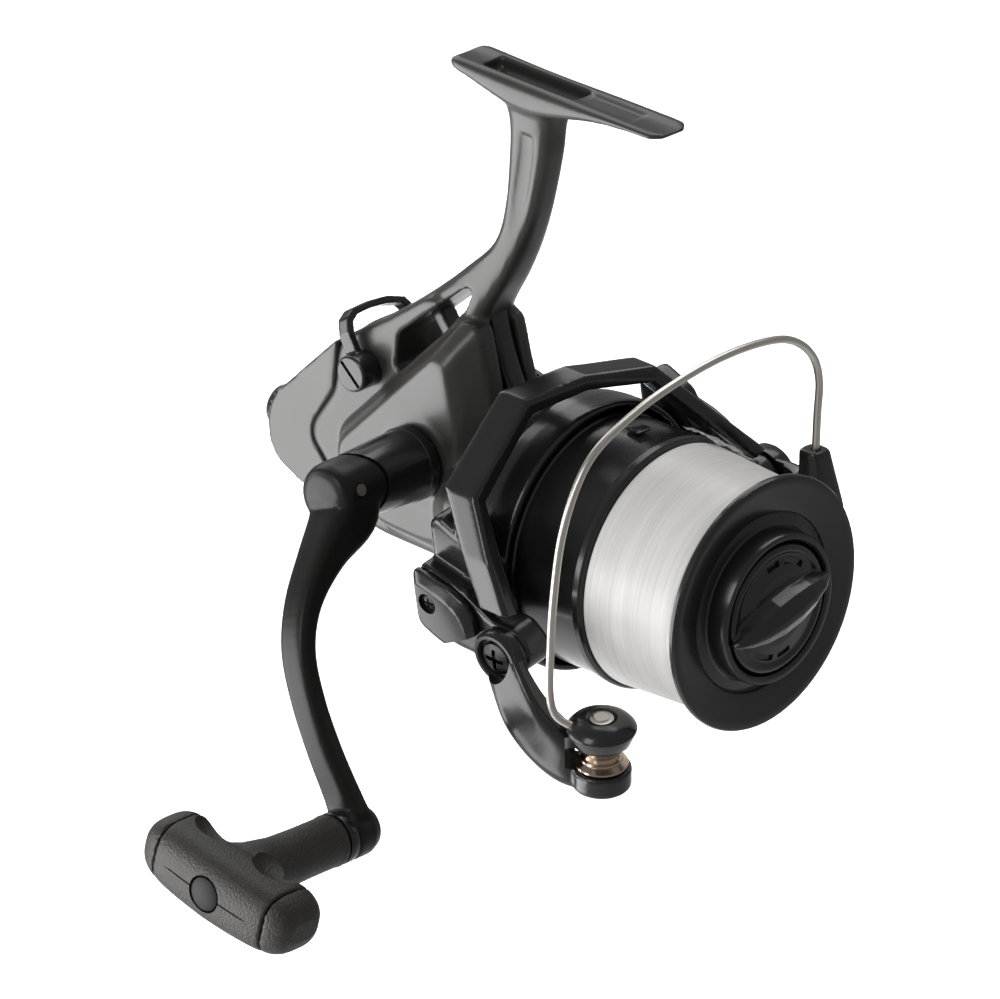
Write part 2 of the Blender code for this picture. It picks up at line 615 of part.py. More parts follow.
def build_knob():
    """T-shaped grip of two half shells' outer form, its end caps, collar and badge."""
    eye_place = ARM_AXIS * ARM_LENGTH
    stem = [(0.0, KNOB_INNER_X - 3.2), (6.5, KNOB_INNER_X - 3.2), (6.3, -84.0), (6.2, -94.0), (7.4, -102.0),
            (8.0, -110.0), (0.0, -110.0)]
    grip = turned("knob_grip", stem, RUBBER, eye_place, ALONG_X, 24, parent=CRANK_AXIS)
    bar_turn = Euler((KNOB_LEAN, 0.0, 0.0)).to_matrix() @ ALONG_Y.to_matrix()
    middle = eye_place + Vector((-112.8, 0.0, 0.0))
    profile = [(0.0, 16.6), (8.6, 16.6), (9.0, 10.0), (9.2, 0.0), (9.0, -10.0), (8.6, -16.6), (0.0, -16.6)]
    bar = turned_cutter("bar", profile, middle, bar_turn, 24, CRANK_AXIS)
    bar.scale = (0.94, 1.0, 1.0)
    boolean(grip, bar, "UNION")
    boolean(grip, turned_cutter("spindle_way", rod(2.6, -116.0, -60.0), eye_place, ALONG_X, 16, CRANK_AXIS))
    boolean(grip, turned_cutter("badge_seat", rod(4.4, -130.0, -120.6), eye_place, ALONG_X, 24, CRANK_AXIS))
    for name, side in (("knob_end_rear", 1.0), ("knob_end_front", -1.0)):
        near = side * 16.95
        if side > 0:
            cap = [(0.0, 23.8), (4.6, 23.2), (7.6, 20.6), (8.5, near), (0.0, near)]
        else:
            cap = [(0.0, near), (8.5, near), (7.6, -20.6), (4.6, -23.2), (0.0, -23.8)]
        end = turned(name, cap, RUBBER, middle, bar_turn, 24, parent=CRANK_AXIS)
        end.scale = (0.94, 1.0, 1.0)
    badge = [(0.0, -120.95), (4.0, -120.95), (4.0, -122.4), (3.2, -122.7), (0.0, -122.7)]
    turned("knob_badge", badge, BLACK, eye_place, ALONG_X, 24, parent=CRANK_AXIS)
    collar = ring(6.4, 2.6, KNOB_INNER_X - 2.8, KNOB_INNER_X)
    turned("knob_collar", collar, BLACK, eye_place, ALONG_X, 24, True, CRANK_AXIS)


# ---------------------------------------------------------------- rotor and bail

ROTOR_ARM = [
    (-26.6, -8.6), (-26.6, 8.0), (-10.0, 8.6), (-3.0, 7.6), (2.6, 7.0), (6.2, 3.4), (7.0, 0.0), (6.2, -3.4),
    (2.6, -7.0), (-8.0, -7.6),
]
HOOP_PATH = [
    (-43.5, 47.0, -4.0), (-43.0, 57.0, 8.0), (-39.0, 63.5, 20.0), (-29.0, 64.6, 31.0), (-16.0, 62.0, 38.0),
    (-2.0, 56.0, 40.4), (10.0, 50.0, 39.0), (22.0, 46.0, 32.0), (33.0, 42.6, 21.0), (41.0, 41.0, 10.0),
]


def arm_mesh_at(sign, low, high):
    """One rotor arm: a plate across the bail's axis at the given radii."""
    mesh = plate_mesh([(-x, y * sign) for x, y in ROTOR_ARM], (high - low) / 2.0)
    turn = OUTWARD.to_4x4()
    lift = Matrix.Translation((0.0, 0.0, sign * (high + low) / 2.0 * MM))
    flip = Matrix.Diagonal((-1.0, 1.0, 1.0, 1.0))
    mesh.transform(turn @ lift @ flip)
    work = bmesh.new()
    work.from_mesh(mesh)
    bmesh.ops.recalc_face_normals(work, faces=work.faces)
    work.to_mesh(mesh)
    work.free()
    return mesh


def radial_box(sign, low, high, y_low, y_high, half_wide):
    """Block that ties a rotor arm to the cup."""
    mesh = box_mesh((y_low, -half_wide, low), (y_high, half_wide, high))
    turn = frame_matrix(Vector((0.0, 1.0, 0.0)), PIVOT_AXIS * sign).to_4x4()
    mesh.transform(turn)
    return mesh


def build_rotor():
    """Cup, two arms and the brace over the spool, moulded in one piece."""
    profile = [
        (9.0, CUP_REAR), (29.0, CUP_REAR), (33.6, 64.0), (CUP_RADIUS, 60.0), (CUP_RADIUS, CUP_FRONT),
        (CUP_RADIUS - 1.9, CUP_FRONT), (CUP_RADIUS - 1.9, 62.0), (28.0, 66.4), (11.0, 66.4), (11.0, 62.0),
        (PINION_RADIUS - 0.4, 62.0), (PINION_RADIUS - 0.4, 66.6), (9.0, 66.6),
    ]
    rotor = turned("rotor", profile, BLACK, closed=True)
    for name, sign in (("near", 1.0), ("far", -1.0)):
        block = cutter(f"{name}_root", radial_box(sign, 31.0, 45.8, 58.0, 68.6, 7.6))
        arm = cutter(f"{name}_arm", arm_mesh_at(sign, 38.0, 45.8), parent=BAIL_AXIS)
        bevelled(arm, 1.2, 1)
        boolean(rotor, block, "UNION")
        boolean(rotor, arm, "UNION")
    hoop = cutter("hoop", wire_mesh(smooth_path(HOOP_PATH, 2), 3.4, 2))
    boolean(rotor, hoop, "UNION")
    outward = OUTWARD.to_euler()
    for name, sign in (("near", 1.0), ("far", -1.0)):
        hole = turned_cutter(f"{name}_hole", rod(2.4, sign * 42.0 - 8.0, sign * 42.0 + 8.0),
                             turn=outward, steps=16, parent=BAIL_AXIS)
        boolean(rotor, hole)
    turned("rotor_nut", ring(6.6, HUB_BORE + 0.3, 57.0, 61.4), STEEL, steps=6, closed=True)
    pinion = keep("pinion_gear", plate_mesh(toothed(9, PINION_RADIUS - 0.2, PINION_RADIUS - 1.8), 5.0,
                                            [circle(SHAFT_RADIUS + GAP, 24)]), BRASS, (0.0, 88.0, 0.0),
                  ALONG_Y)
    sleeve = cutter("sleeve", plate_mesh(circle(6.7, 24), 11.2, [circle(SHAFT_RADIUS + GAP, 24)]),
                    (0.0, 73.6, 0.0), ALONG_Y)
    boolean(pinion, sleeve, "UNION")
    return rotor


def build_arm_covers():
    """Covers outside both rotor arms, their screws, and the bail's return spring."""
    outward = OUTWARD.to_euler()
    outline = [(-26.0, -8.2), (-26.0, 7.6), (-10.0, 8.2), (-8.6, 5.0), (-8.0, 0.0), (-8.6, -5.0),
               (-10.0, -7.2)]
    for name, sign in (("near", 1.0), ("far", -1.0)):
        mesh = plate_mesh(outline, 1.3)
        centre = 47.5 * sign
        cover = keep(f"arm_cover_{name}", mesh, BLACK, OUTWARD @ Vector((0.0, 0.0, centre)), outward,
                     BAIL_AXIS)
        bevelled(cover, 0.6, 1)
        screw = [(0.0, 0.9), (1.6, 0.9), (1.9, 0.0), (0.0, 0.0)]
        local = Vector((-22.0, 0.0, sign * (48.8 + 0.35)))
        turn = (OUTWARD @ Matrix.Diagonal((1.0, sign, sign))).to_euler()
        turned(f"cover_screw_{name}", screw, STEEL, OUTWARD @ local, turn, 16, parent=BAIL_AXIS)
        pivot = [(0.0, 50.4), (4.2, 50.4), (4.6, 49.6), (4.6, 48.6), (2.0, 48.6), (2.0, 39.6), (0.0, 39.6)]
        turned(f"bail_pivot_screw_{name}", pivot, STEEL, turn=turn, steps=24, parent=BAIL_AXIS)
    coil = []
    for i in range(4 * 10 + 1):
        angle = 2.0 * math.pi * i / 10
        coil.append((-15.5 + 1.9 * math.cos(angle), 1.9 * math.sin(angle), 0.0))
    return coil


BAIL_WIRE_PATH = [
    (-47.6, 19.0, -22.0), (-49.6, 21.8, -20.0), (-50.2, 22.6, -14.0), (-49.6, 22.8, 6.0),
    (-48.0, 22.8, 25.0), (-40.6, 22.7, 40.6), (-24.0, 22.6, 49.4), (-9.7, 22.6, 52.8),
    (4.0, 22.6, 54.6), (16.0, 22.6, 54.5), (27.2, 22.6, 53.2), (36.0, 22.6, 48.4), (41.4, 22.6, 39.6),
    (41.6, 22.6, 30.0), (41.5, 22.6, 20.6),
]
ROLLER_PLACE = Vector((-40.6, 14.0, -30.3))
ROLLER_AXIS = Vector((-0.14, -0.08, 0.987)).normalized()


def build_bail():
    """Bail arm, holder, wire, roller, its cap and its pin."""
    outward = OUTWARD.to_euler()
    disc = [(0.0, 48.3), (6.9, 48.3), (6.9, 46.15), (0.0, 46.15)]
    arm = turned("bail_arm", disc, BLACK, turn=outward, steps=24, parent=BAIL_AXIS)
    foot_of_arm = PIVOT_AXIS * 48.0
    to_lip = Vector((0.0, 0.0, 0.0)) - PIVOT_CENTRE
    end = ROLLER_PLACE + to_lip - ROLLER_AXIS * 7.2
    way = [foot_of_arm + Vector((0.0, -1.0, 0.0)), foot_of_arm + Vector((-1.4, -9.0, -5.0)),
           foot_of_arm + Vector((-0.6, -18.0, -12.6)), end + Vector((-1.0, 7.0, 2.6)),
           end + Vector((0.0, 1.0, 0.0))]
    sweep = cutter("bail_arm_sweep", wire_mesh(smooth_path(way, 3), 3.3, 2), parent=BAIL_AXIS)
    boolean(arm, sweep, "UNION")
    roller_turn = ROLLER_AXIS.to_track_quat("Z", "Y").to_euler()
    boss = turned_cutter("boss", rod(7.1, -9.0, -3.9), ROLLER_PLACE, roller_turn, 24)
    boolean(arm, boss, "UNION")
    boolean(arm, turned_cutter("arm_eye", rod(2.6, 30.0, 60.0), turn=outward, steps=16, parent=BAIL_AXIS))
    boolean(arm, turned_cutter("arm_recess", rod(5.2, 48.25, 60.0), turn=outward, parent=BAIL_AXIS))
    boolean(arm, turned_cutter("pin_seat", rod(2.0, -7.6, 0.0), ROLLER_PLACE, roller_turn, 16))
    boolean(arm, turned_cutter("roller_room", rod(8.8, -3.8, 3.4), ROLLER_PLACE, roller_turn, 24))
    boolean(arm, turned_cutter("near_face", rod(9.0, 30.0, 46.15), turn=outward, parent=BAIL_AXIS))
    roller = [(5.4, 2.5), (4.9, 1.9), (3.9, 0.4), (3.9, -0.8), (5.2, -2.6), (6.2, -3.4), (2.1, -3.4),
              (2.1, 2.5)]
    turned("line_roller", roller, BRONZE, ROLLER_PLACE, roller_turn, 24, True)
    pin = [(0.0, 9.9), (2.7, 9.9), (2.8, 9.3), (1.6, 9.1), (1.6, -7.2), (0.0, -7.2)]
    turned("roller_pin", pin, STEEL, ROLLER_PLACE, roller_turn, 16)
    cap = [(3.3, 9.7), (5.8, 9.1), (8.1, 6.1), (7.6, 4.6), (6.4, 2.9), (2.0, 2.9), (2.0, 8.6), (3.3, 8.6)]
    turned("roller_cap", cap, BLACK, ROLLER_PLACE, roller_turn, 24, True)
    keep("bail_wire", wire_mesh(smooth_path(BAIL_WIRE_PATH, 3), 0.72, 2), STEEL)
    holder = turned("bail_holder", [(0.0, 48.3), (6.4, 48.3), (6.4, 46.15), (0.0, 46.15)], BLACK,
                    turn=(OUTWARD @ Matrix.Diagonal((1.0, -1.0, -1.0))).to_euler(), steps=24,
                    parent=BAIL_AXIS)
    socket = Vector((41.5, 22.6, 20.0)) + to_lip
    far_foot = PIVOT_AXIS * -48.0
    lever = [far_foot + Vector((0.0, -1.0, 0.0)), far_foot + Vector((0.4, -9.0, 0.2)),
             far_foot + Vector((-1.6, -16.0, -0.4)), socket + Vector((0.6, 0.6, -9.0)), socket]
    sweep = cutter("holder_sweep", wire_mesh(smooth_path(lever, 2), 2.9, 2), parent=BAIL_AXIS)
    boolean(holder, sweep, "UNION")
    boolean(holder, turned_cutter("holder_eye", rod(2.6, -60.0, -30.0), turn=outward, steps=16,
                                  parent=BAIL_AXIS))
    wire_way = turned_cutter("wire_way", rod(1.15, -3.0, 4.0), (41.5, 22.6, 20.0), Euler(), 12)
    boolean(holder, wire_way)
    boolean(holder, turned_cutter("far_face", rod(9.0, -46.15, -30.0), turn=outward, parent=BAIL_AXIS))
    boolean(holder, turned_cutter("holder_recess", rod(5.2, -60.0, -48.25), turn=outward,
                                  parent=BAIL_AXIS))


# ---------------------------------------------------------------- spool


def build_spool():
    """Long-cast spool with its skirt, hub and drag well."""
    profile = [
        (SKIRT_RADIUS, SKIRT_REAR), (SKIRT_RADIUS, 33.0), (31.2, 32.4), (31.2, SKIRT_FRONT),
        (DRUM_RADIUS, 31.0), (DRUM_RADIUS, 3.0), (30.6, 2.7), (LIP_RADIUS, 1.8), (LIP_RADIUS, 0.5),
        (31.2, 0.0), (24.0, 1.0), (22.6, 1.6), (19.4, 1.6), (19.0, -3.6), (18.4, -4.2),
        (DRAG_WELL_RADIUS + 0.2, -4.2), (DRAG_WELL_RADIUS, -3.6), (DRAG_WELL_RADIUS, 16.0),
        (HUB_BORE, 16.0), (HUB_BORE, 40.0), (7.4, 40.0), (7.4, 19.0), (20.0, 19.0), (20.0, 30.0),
        (29.2, 34.0), (29.2, SKIRT_REAR),
    ]
    turned("spool", profile, BLACK, steps=32, closed=True)
    wound = [(30.2, 31.0 - GAP), (28.9, 3.2 + GAP), (DRUM_RADIUS + GAP, 3.0 + GAP),
             (DRUM_RADIUS + GAP, 31.0 - GAP)]
    turned("wound_line", wound, LINE, steps=32, closed=True)
    clip = keep("line_clip", box_mesh((-2.4, 40.0, SKIRT_RADIUS + GAP), (2.4, 45.0, SKIRT_RADIUS + 1.0)),
                BLACK)
    bevelled(clip, 0.2, 1)
    stack = (("drag_washer_rear", FELT, 14.2), ("drag_disc_rear", STEEL, 12.4),
             ("drag_washer_front", FELT, 10.6), ("drag_disc_front", STEEL, 8.8))
    for name, finish, along in stack:
        turned(name, ring(DRAG_WELL_RADIUS - 0.8, HUB_BORE + 0.4, along, along + 1.4), finish,
               steps=SMALL_STEPS, closed=True)
    turned("drag_retainer", ring(DRAG_WELL_RADIUS - 0.4, DRAG_WELL_RADIUS - 1.6, 7.2, 8.2), STEEL,
           steps=SMALL_STEPS, closed=True)
    turned("main_shaft", rod(SHAFT_RADIUS, SHAFT_FRONT, SHAFT_REAR), STEEL, steps=SMALL_STEPS)


def build_drag_knob():
    """Front drag knob with a pointed bar to grip, and the nut inside it."""
    profile = [
        (0.0, -1.9), (8.0, -1.9), (8.0, 6.6), (9.6, 6.6), (9.6, 2.4), (16.5, 2.4), (16.5, -3.4),
        (15.6, -4.0), (0.0, -4.6),
    ]
    knob = turned("drag_knob", profile, BLACK, steps=36)
    grip = [(-16.3, 0.0), (-9.0, -4.4), (0.0, -5.6), (9.0, -4.4), (16.3, 0.0), (9.0, 4.4), (0.0, 5.6),
            (-9.0, 4.4)]
    bar = cutter("grip_bar", front_plate_mesh(grip, -9.6, -3.0))
    bevelled(bar, 1.6, 1)
    boolean(knob, bar, "UNION")
    nut = plate_mesh(circle(7.2, 6), 1.9, [circle(HUB_BORE + 0.1, 24)])
    keep("drag_nut", nut, BRASS, (0.0, 0.6, 0.0), ALONG_Y)
    turns = 2
    coil = []
    for i in range(turns * 12 + 1):
        angle = 2.0 * math.pi * i / 12
        coil.append((6.0 * math.cos(angle), 3.4 + 4.2 * i / (turns * 12), 6.0 * math.sin(angle)))
    keep("drag_spring", wire_mesh(coil, 0.45, 1), STEEL)


# ---------------------------------------------------------------- bait lever


def build_bait_lever():
    """Yoke lever over the tail of the body, with its barrel pivot."""
    lean = math.radians(33.0)
    outline = [(-13.4, -2.0), (-13.3, 8.6), (-11.6, 12.6), (-7.2, 15.7), (4.0, 15.9), (10.6, 13.6),
               (13.2, 9.0), (13.4, -2.0), (10.8, -2.0), (10.8, 8.4), (8.8, 11.8), (3.0, 13.6), (-5.6, 13.5),
               (-9.4, 11.4), (-10.8, 8.0), (-10.8, -2.0)]
    mesh = front_plate_mesh(outline, -1.8, 1.8)
    lever = keep("bait_lever", mesh, BLACK, turn=Euler((-lean, 0.0, 0.0)), parent=LEVER_AXIS)
    for name, profile in (("barrel_near", rod(4.6, -15.6, -10.4)), ("barrel_far", rod(4.6, 10.4, 15.6))):
        boolean(lever, turned_cutter(name, profile, turn=ALONG_X, steps=24, parent=LEVER_AXIS), "UNION")
    boolean(lever, turned_cutter("lever_pin_way", rod(2.2, -14.0, 14.0), turn=ALONG_X, steps=16,
                                 parent=LEVER_AXIS))
    turned("bait_lever_pin", rod(1.85, -13.6, 13.6), STEEL, turn=ALONG_X, steps=16, parent=LEVER_AXIS)
    return lever


def main():
    """Build every piece."""
    build_housing()
    build_side_cover()
    build_rear_cover()
    build_rear_knob()
    build_front_guard()
    build_bearings()
    build_screws()
    build_oscillation()
    build_crank()
    build_handle_arm()
    build_knob()
    build_rotor()
    build_arm_covers()
    build_bail()
    build_spool()
    build_drag_knob()
    build_bait_lever()
    bpy.context.view_layer.update()


main()
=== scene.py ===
"""Looks of a bait-feeder spinning reel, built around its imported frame.

Shapes are worked in millimetres from the centre of the spool's front lip and
turned into metres in the frame's own axes when a piece is finished.
"""

import json
import logging
import math
from dataclasses import dataclass, field
from enum import Enum
from typing import Iterable, Mapping, Optional, Sequence, Union

import bmesh
import bpy
from mathutils import Euler, Matrix, Vector

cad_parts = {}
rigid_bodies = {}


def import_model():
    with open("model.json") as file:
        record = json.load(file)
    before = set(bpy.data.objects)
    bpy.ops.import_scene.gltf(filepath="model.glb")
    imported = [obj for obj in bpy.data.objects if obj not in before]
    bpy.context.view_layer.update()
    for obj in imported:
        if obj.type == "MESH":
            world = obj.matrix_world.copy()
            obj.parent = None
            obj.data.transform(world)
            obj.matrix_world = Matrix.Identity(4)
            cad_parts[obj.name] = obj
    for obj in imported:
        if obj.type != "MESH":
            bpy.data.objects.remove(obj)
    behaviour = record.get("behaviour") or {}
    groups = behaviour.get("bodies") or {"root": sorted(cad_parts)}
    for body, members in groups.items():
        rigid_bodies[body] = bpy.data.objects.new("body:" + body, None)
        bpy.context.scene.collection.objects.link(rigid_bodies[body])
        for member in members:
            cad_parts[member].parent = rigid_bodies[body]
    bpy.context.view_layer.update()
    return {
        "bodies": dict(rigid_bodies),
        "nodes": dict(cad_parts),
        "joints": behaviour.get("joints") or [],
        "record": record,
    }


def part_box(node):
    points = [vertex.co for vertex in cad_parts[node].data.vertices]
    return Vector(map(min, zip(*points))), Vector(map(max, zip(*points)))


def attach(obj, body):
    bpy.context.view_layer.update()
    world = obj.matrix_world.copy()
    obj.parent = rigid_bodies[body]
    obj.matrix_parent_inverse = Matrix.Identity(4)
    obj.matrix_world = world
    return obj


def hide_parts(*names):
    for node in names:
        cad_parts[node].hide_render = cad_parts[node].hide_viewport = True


LOG = logging.getLogger("reel")
MM = 0.001
X_AXIS = Vector((1.0, 0.0, 0.0))
Y_AXIS = Vector((0.0, 1.0, 0.0))
Z_AXIS = Vector((0.0, 0.0, 1.0))
Pair = tuple[float, float]
Triple = tuple[float, float, float]


class Slot(Enum):
    """Material slots of the record that a new piece takes its finish from."""

    BLACK = "black_gloss"
    CASTING = "casting_black"
    RUBBER = "knob_rubber"
    STEEL = "steel"
    BRASS = "brass"
    ALLOY = "alloy"
    BRONZE = "bronze_roller"
    LINE = "clear_line"
    FELT = "felt"


class Body(Enum):
    """Bodies of the frame that pieces ride on."""

    CASING = "casing"
    CRANK = "crank"
    HANDLE = "handle"
    KNOB = "knob"
    ROTOR = "rotor"
    BAIL = "bail"
    ROLLER = "roller"
    SHAFT = "shaft"
    SPOOL = "spool"
    DRAG_KNOB = "drag_knob"
    LEVER = "lever"
    REAR_KNOB = "rear_knob"
    STROKE_GEAR = "stroke_gear"


# ---------------------------------------------------------------- shader recipes


class Term:
    """A shader value; Python's operators on it add Math nodes."""

    def __init__(self, recipe: "Recipe", socket: bpy.types.NodeSocket) -> None:
        """Wrap a socket of a recipe's tree."""
        self.recipe = recipe
        self.socket = socket

    def _maths(self, operation: str, first: "Value", second: "Value") -> "Term":
        """Add one Math node.

        Args:
            operation: the node's operation.
            first: first value.
            second: second value.

        Returns:
            The node's output.
        """
        return self.recipe.node("ShaderNodeMath", {"operation": operation}, {0: first, 1: second})

    def __add__(self, other: "Value") -> "Term":
        """Add."""
        return self._maths("ADD", self, other)

    def __radd__(self, other: "Value") -> "Term":
        """Add, from the right."""
        return self._maths("ADD", other, self)

    def __sub__(self, other: "Value") -> "Term":
        """Subtract."""
        return self._maths("SUBTRACT", self, other)

    def __rsub__(self, other: "Value") -> "Term":
        """Subtract from a value."""
        return self._maths("SUBTRACT", other, self)

    def __mul__(self, other: "Value") -> "Term":
        """Multiply."""
        return self._maths("MULTIPLY", self, other)

    def __rmul__(self, other: "Value") -> "Term":
        """Multiply, from the right."""
        return self._maths("MULTIPLY", other, self)


Value = Union[Term, float, Sequence[float]]


class Recipe:
    """A material under work."""

    def __init__(self, name: str) -> None:
        """Start a material with its Principled shader."""
        self.material = bpy.data.materials.new(name)
        self.material.use_nodes = True
        self.tree = self.material.node_tree
        self.shader = self.tree.nodes["Principled BSDF"]

    def node(self, kind: str, settings: Mapping[str, object], inputs: Mapping[object, Value],
             output: Union[int, str] = 0) -> Term:
        """Add a node, its settings first and then its values and links.

        Args:
            kind: the node's type.
            settings: properties to set; "stops" fills a colour ramp.
            inputs: values or terms by socket name or number.
            output: which output to return.

        Returns:
            The chosen output.
        """
        made = self.tree.nodes.new(kind)
        for name, value in settings.items():
            if name == "stops":
                self._fill_ramp(made.color_ramp, value)
            else:
                setattr(made, name, value)
        for name, value in inputs.items():
            self._feed(made.inputs[name], value)
        return Term(self, made.outputs[output])

    @staticmethod
    def _fill_ramp(ramp: bpy.types.ColorRamp, stops: Sequence[tuple[float, float]]) -> None:
        """Set the grey stops of a ramp."""
        while len(ramp.elements) < len(stops):
            ramp.elements.new(1.0)
        for element, (place, level) in zip(ramp.elements, stops):
            element.position = place
            element.color = (level, level, level, 1.0)

    def _feed(self, socket: bpy.types.NodeSocket, value: Value) -> None:
        """Link a term to a socket or set its value."""
        if isinstance(value, Term):
            self.tree.links.new(value.socket, socket)
        else:
            socket.default_value = value

    def set(self, **values: Value) -> None:
        """Feed the shader; underscores in a name stand for spaces."""
        for name, value in values.items():
            self._feed(self.shader.inputs[name.replace("_", " ")], value)

    def place(self, scale: Triple = (1.0, 1.0, 1.0), turn: Triple = (0.0, 0.0, 0.0)) -> Term:
        """Object coordinates, turned and stretched."""
        where = self.node("ShaderNodeTexCoord", {}, {}, "Object")
        return self.node("ShaderNodeMapping", {}, {"Vector": where, "Rotation": turn, "Scale": scale})

    def noise(self, where: Term, scale: float, detail: float = 2.0, roughness: float = 0.5) -> Term:
        """Grey noise from 0 to 1."""
        return self.node("ShaderNodeTexNoise", {}, {"Vector": where, "Scale": scale, "Detail": detail,
                                                    "Roughness": roughness})

    def ramp(self, value: Term, *stops: tuple[float, float]) -> Term:
        """Pass a value through grey stops."""
        return self.node("ShaderNodeValToRGB", {"stops": stops}, {"Fac": value})

    def blend(self, factor: Value, first: Sequence[float], second: Sequence[float]) -> Term:
        """Mix two colours."""
        settings = {"data_type": "RGBA"}
        values = {0: factor, 6: (*first, 1.0), 7: (*second, 1.0)}
        return self.node("ShaderNodeMix", settings, values, 2)

    def bump(self, height: Term, strength: float, distance: float, under: Optional[Term] = None) -> Term:
        """A bumped normal."""
        values: dict[object, Value] = {"Height": height, "Strength": strength, "Distance": distance}
        if under is not None:
            values["Normal"] = under
        return self.node("ShaderNodeBump", {}, values)


@dataclass(frozen=True)
class MouldedPlastic:
    """Hard black plastic or paint with soft mottling and very fine texture."""

    name: str
    shade: Triple = (0.011, 0.011, 0.012)
    worn: Triple = (0.022, 0.021, 0.021)
    rough: float = 0.24
    spread: float = 0.10
    grain: float = 1400.0
    depth: float = 0.03
    coat: float = 0.25
    specular: float = 0.5

    def make(self) -> bpy.types.Material:
        """Build the material.

        Returns:
            The material.
        """
        recipe = Recipe(self.name)
        where = recipe.place()
        cloud = recipe.noise(where, 70.0, 3.0)
        fine = recipe.noise(where, self.grain, 2.0)
        dust = recipe.ramp(recipe.noise(where, 2600.0, 1.0), (0.60, 0.0), (0.72, 1.0))
        recipe.set(Base_Color=recipe.blend(cloud * 0.7 + dust * 0.3, self.shade, self.worn))
        recipe.set(Roughness=cloud * self.spread + (self.rough - self.spread / 2.0))
        recipe.set(Normal=recipe.bump(fine, self.depth, 0.0002))
        recipe.set(Coat_Weight=self.coat, Coat_Roughness=0.12, Specular_IOR_Level=self.specular)
        return recipe.material


@dataclass(frozen=True)
class GrainedRubber:
    """Soft dark moulding with an etched leather-like grain."""

    name: str
    shade: Triple = (0.030, 0.028, 0.026)
    high: Triple = (0.050, 0.047, 0.044)
    cell: float = 1500.0

    def make(self) -> bpy.types.Material:
        """Build the material.

        Returns:
            The material.
        """
        recipe = Recipe(self.name)
        where = recipe.place()
        cells = recipe.node("ShaderNodeTexVoronoi", {"feature": "F1"}, {"Vector": where, "Scale": self.cell})
        cloud = recipe.noise(where, 90.0, 3.0)
        pores = recipe.ramp(cells, (0.05, 1.0), (0.75, 0.0))
        recipe.set(Base_Color=recipe.blend(pores * 0.6 + cloud * 0.4, self.shade, self.high))
        recipe.set(Roughness=cloud * 0.12 + 0.44)
        under = recipe.bump(recipe.noise(where, 3800.0, 2.0), 0.25, 0.0001)
        recipe.set(Normal=recipe.bump(pores, 0.42, 0.00022, under))
        recipe.set(Specular_IOR_Level=0.45)
        return recipe.material


@dataclass(frozen=True)
class WorkedMetal:
    """Metal with fine tool lines along one direction."""

    name: str
    shade: Triple = (0.62, 0.58, 0.53)
    dark: Triple = (0.40, 0.37, 0.34)
    rough: float = 0.26
    stretch: Triple = (500.0, 500.0, 40.0)
    depth: float = 0.08

    def make(self) -> bpy.types.Material:
        """Build the material.

        Returns:
            The material.
        """
        recipe = Recipe(self.name)
        lines = recipe.noise(recipe.place(self.stretch), 4.0, 4.0, 0.6)
        cloud = recipe.noise(recipe.place(), 110.0, 3.0)
        recipe.set(Base_Color=recipe.blend(lines * 0.5 + cloud * 0.3, self.shade, self.dark))
        recipe.set(Roughness=lines * 0.16 + (self.rough - 0.06), Metallic=1.0)
        recipe.set(Normal=recipe.bump(lines, self.depth, 0.0001))
        return recipe.material


@dataclass(frozen=True)
class WoundNylon:
    """Pale clear line, wrap on wrap, with a few strands that cross."""

    name: str
    pale: Triple = (0.97, 0.96, 0.93)
    shade: Triple = (0.74, 0.73, 0.70)

    def make(self) -> bpy.types.Material:
        """Build the material.

        Returns:
            The material.
        """
        recipe = Recipe(self.name)
        wraps = recipe.noise(recipe.place((26.0, 2300.0, 26.0)), 1.0, 3.0, 0.6)
        crossing = recipe.noise(recipe.place((40.0, 1700.0, 40.0), (0.06, 0.0, 0.05)), 1.0, 2.0, 0.7)
        glints = recipe.ramp(crossing, (0.60, 0.0), (0.70, 1.0))
        tone = recipe.ramp(wraps, (0.30, 0.0), (0.62, 1.0))
        recipe.set(Base_Color=recipe.blend(tone * 0.55 + glints * 0.45, self.shade, self.pale))
        recipe.set(Roughness=0.42 - glints * 0.2, Normal=recipe.bump(wraps, 0.35, 0.0002))
        recipe.set(Specular_IOR_Level=0.6, Coat_Weight=0.15, Coat_Roughness=0.2)
        recipe.set(Subsurface_Weight=0.25, Subsurface_Radius=(0.004, 0.004, 0.004), Subsurface_Scale=1.0)
        return recipe.material


@dataclass(frozen=True)
class ClearTape:
    """Thin crumpled clear film."""

    name: str

    def make(self) -> bpy.types.Material:
        """Build the material.

        Returns:
            The material.
        """
        recipe = Recipe(self.name)
        creases = recipe.noise(recipe.place(), 420.0, 4.0, 0.7)
        recipe.set(Base_Color=recipe.blend(creases, (0.80, 0.80, 0.79), (0.98, 0.98, 0.97)))
        recipe.set(Alpha=recipe.ramp(creases, (0.35, 0.18), (0.65, 0.62)), Roughness=0.12)
        recipe.set(Normal=recipe.bump(creases, 0.8, 0.0006), Specular_IOR_Level=0.8)
        return recipe.material


@dataclass(frozen=True)
class PressedFelt:
    """Fibrous grey-brown washer felt."""

    name: str

    def make(self) -> bpy.types.Material:
        """Build the material.

        Returns:
            The material.
        """
        recipe = Recipe(self.name)
        fibres = recipe.noise(recipe.place((1.0, 1.0, 6.0)), 900.0, 5.0, 0.7)
        recipe.set(Base_Color=recipe.blend(fibres, (0.12, 0.11, 0.09), (0.28, 0.25, 0.21)))
        recipe.set(Roughness=0.92, Normal=recipe.bump(fibres, 0.6, 0.0003))
        return recipe.material


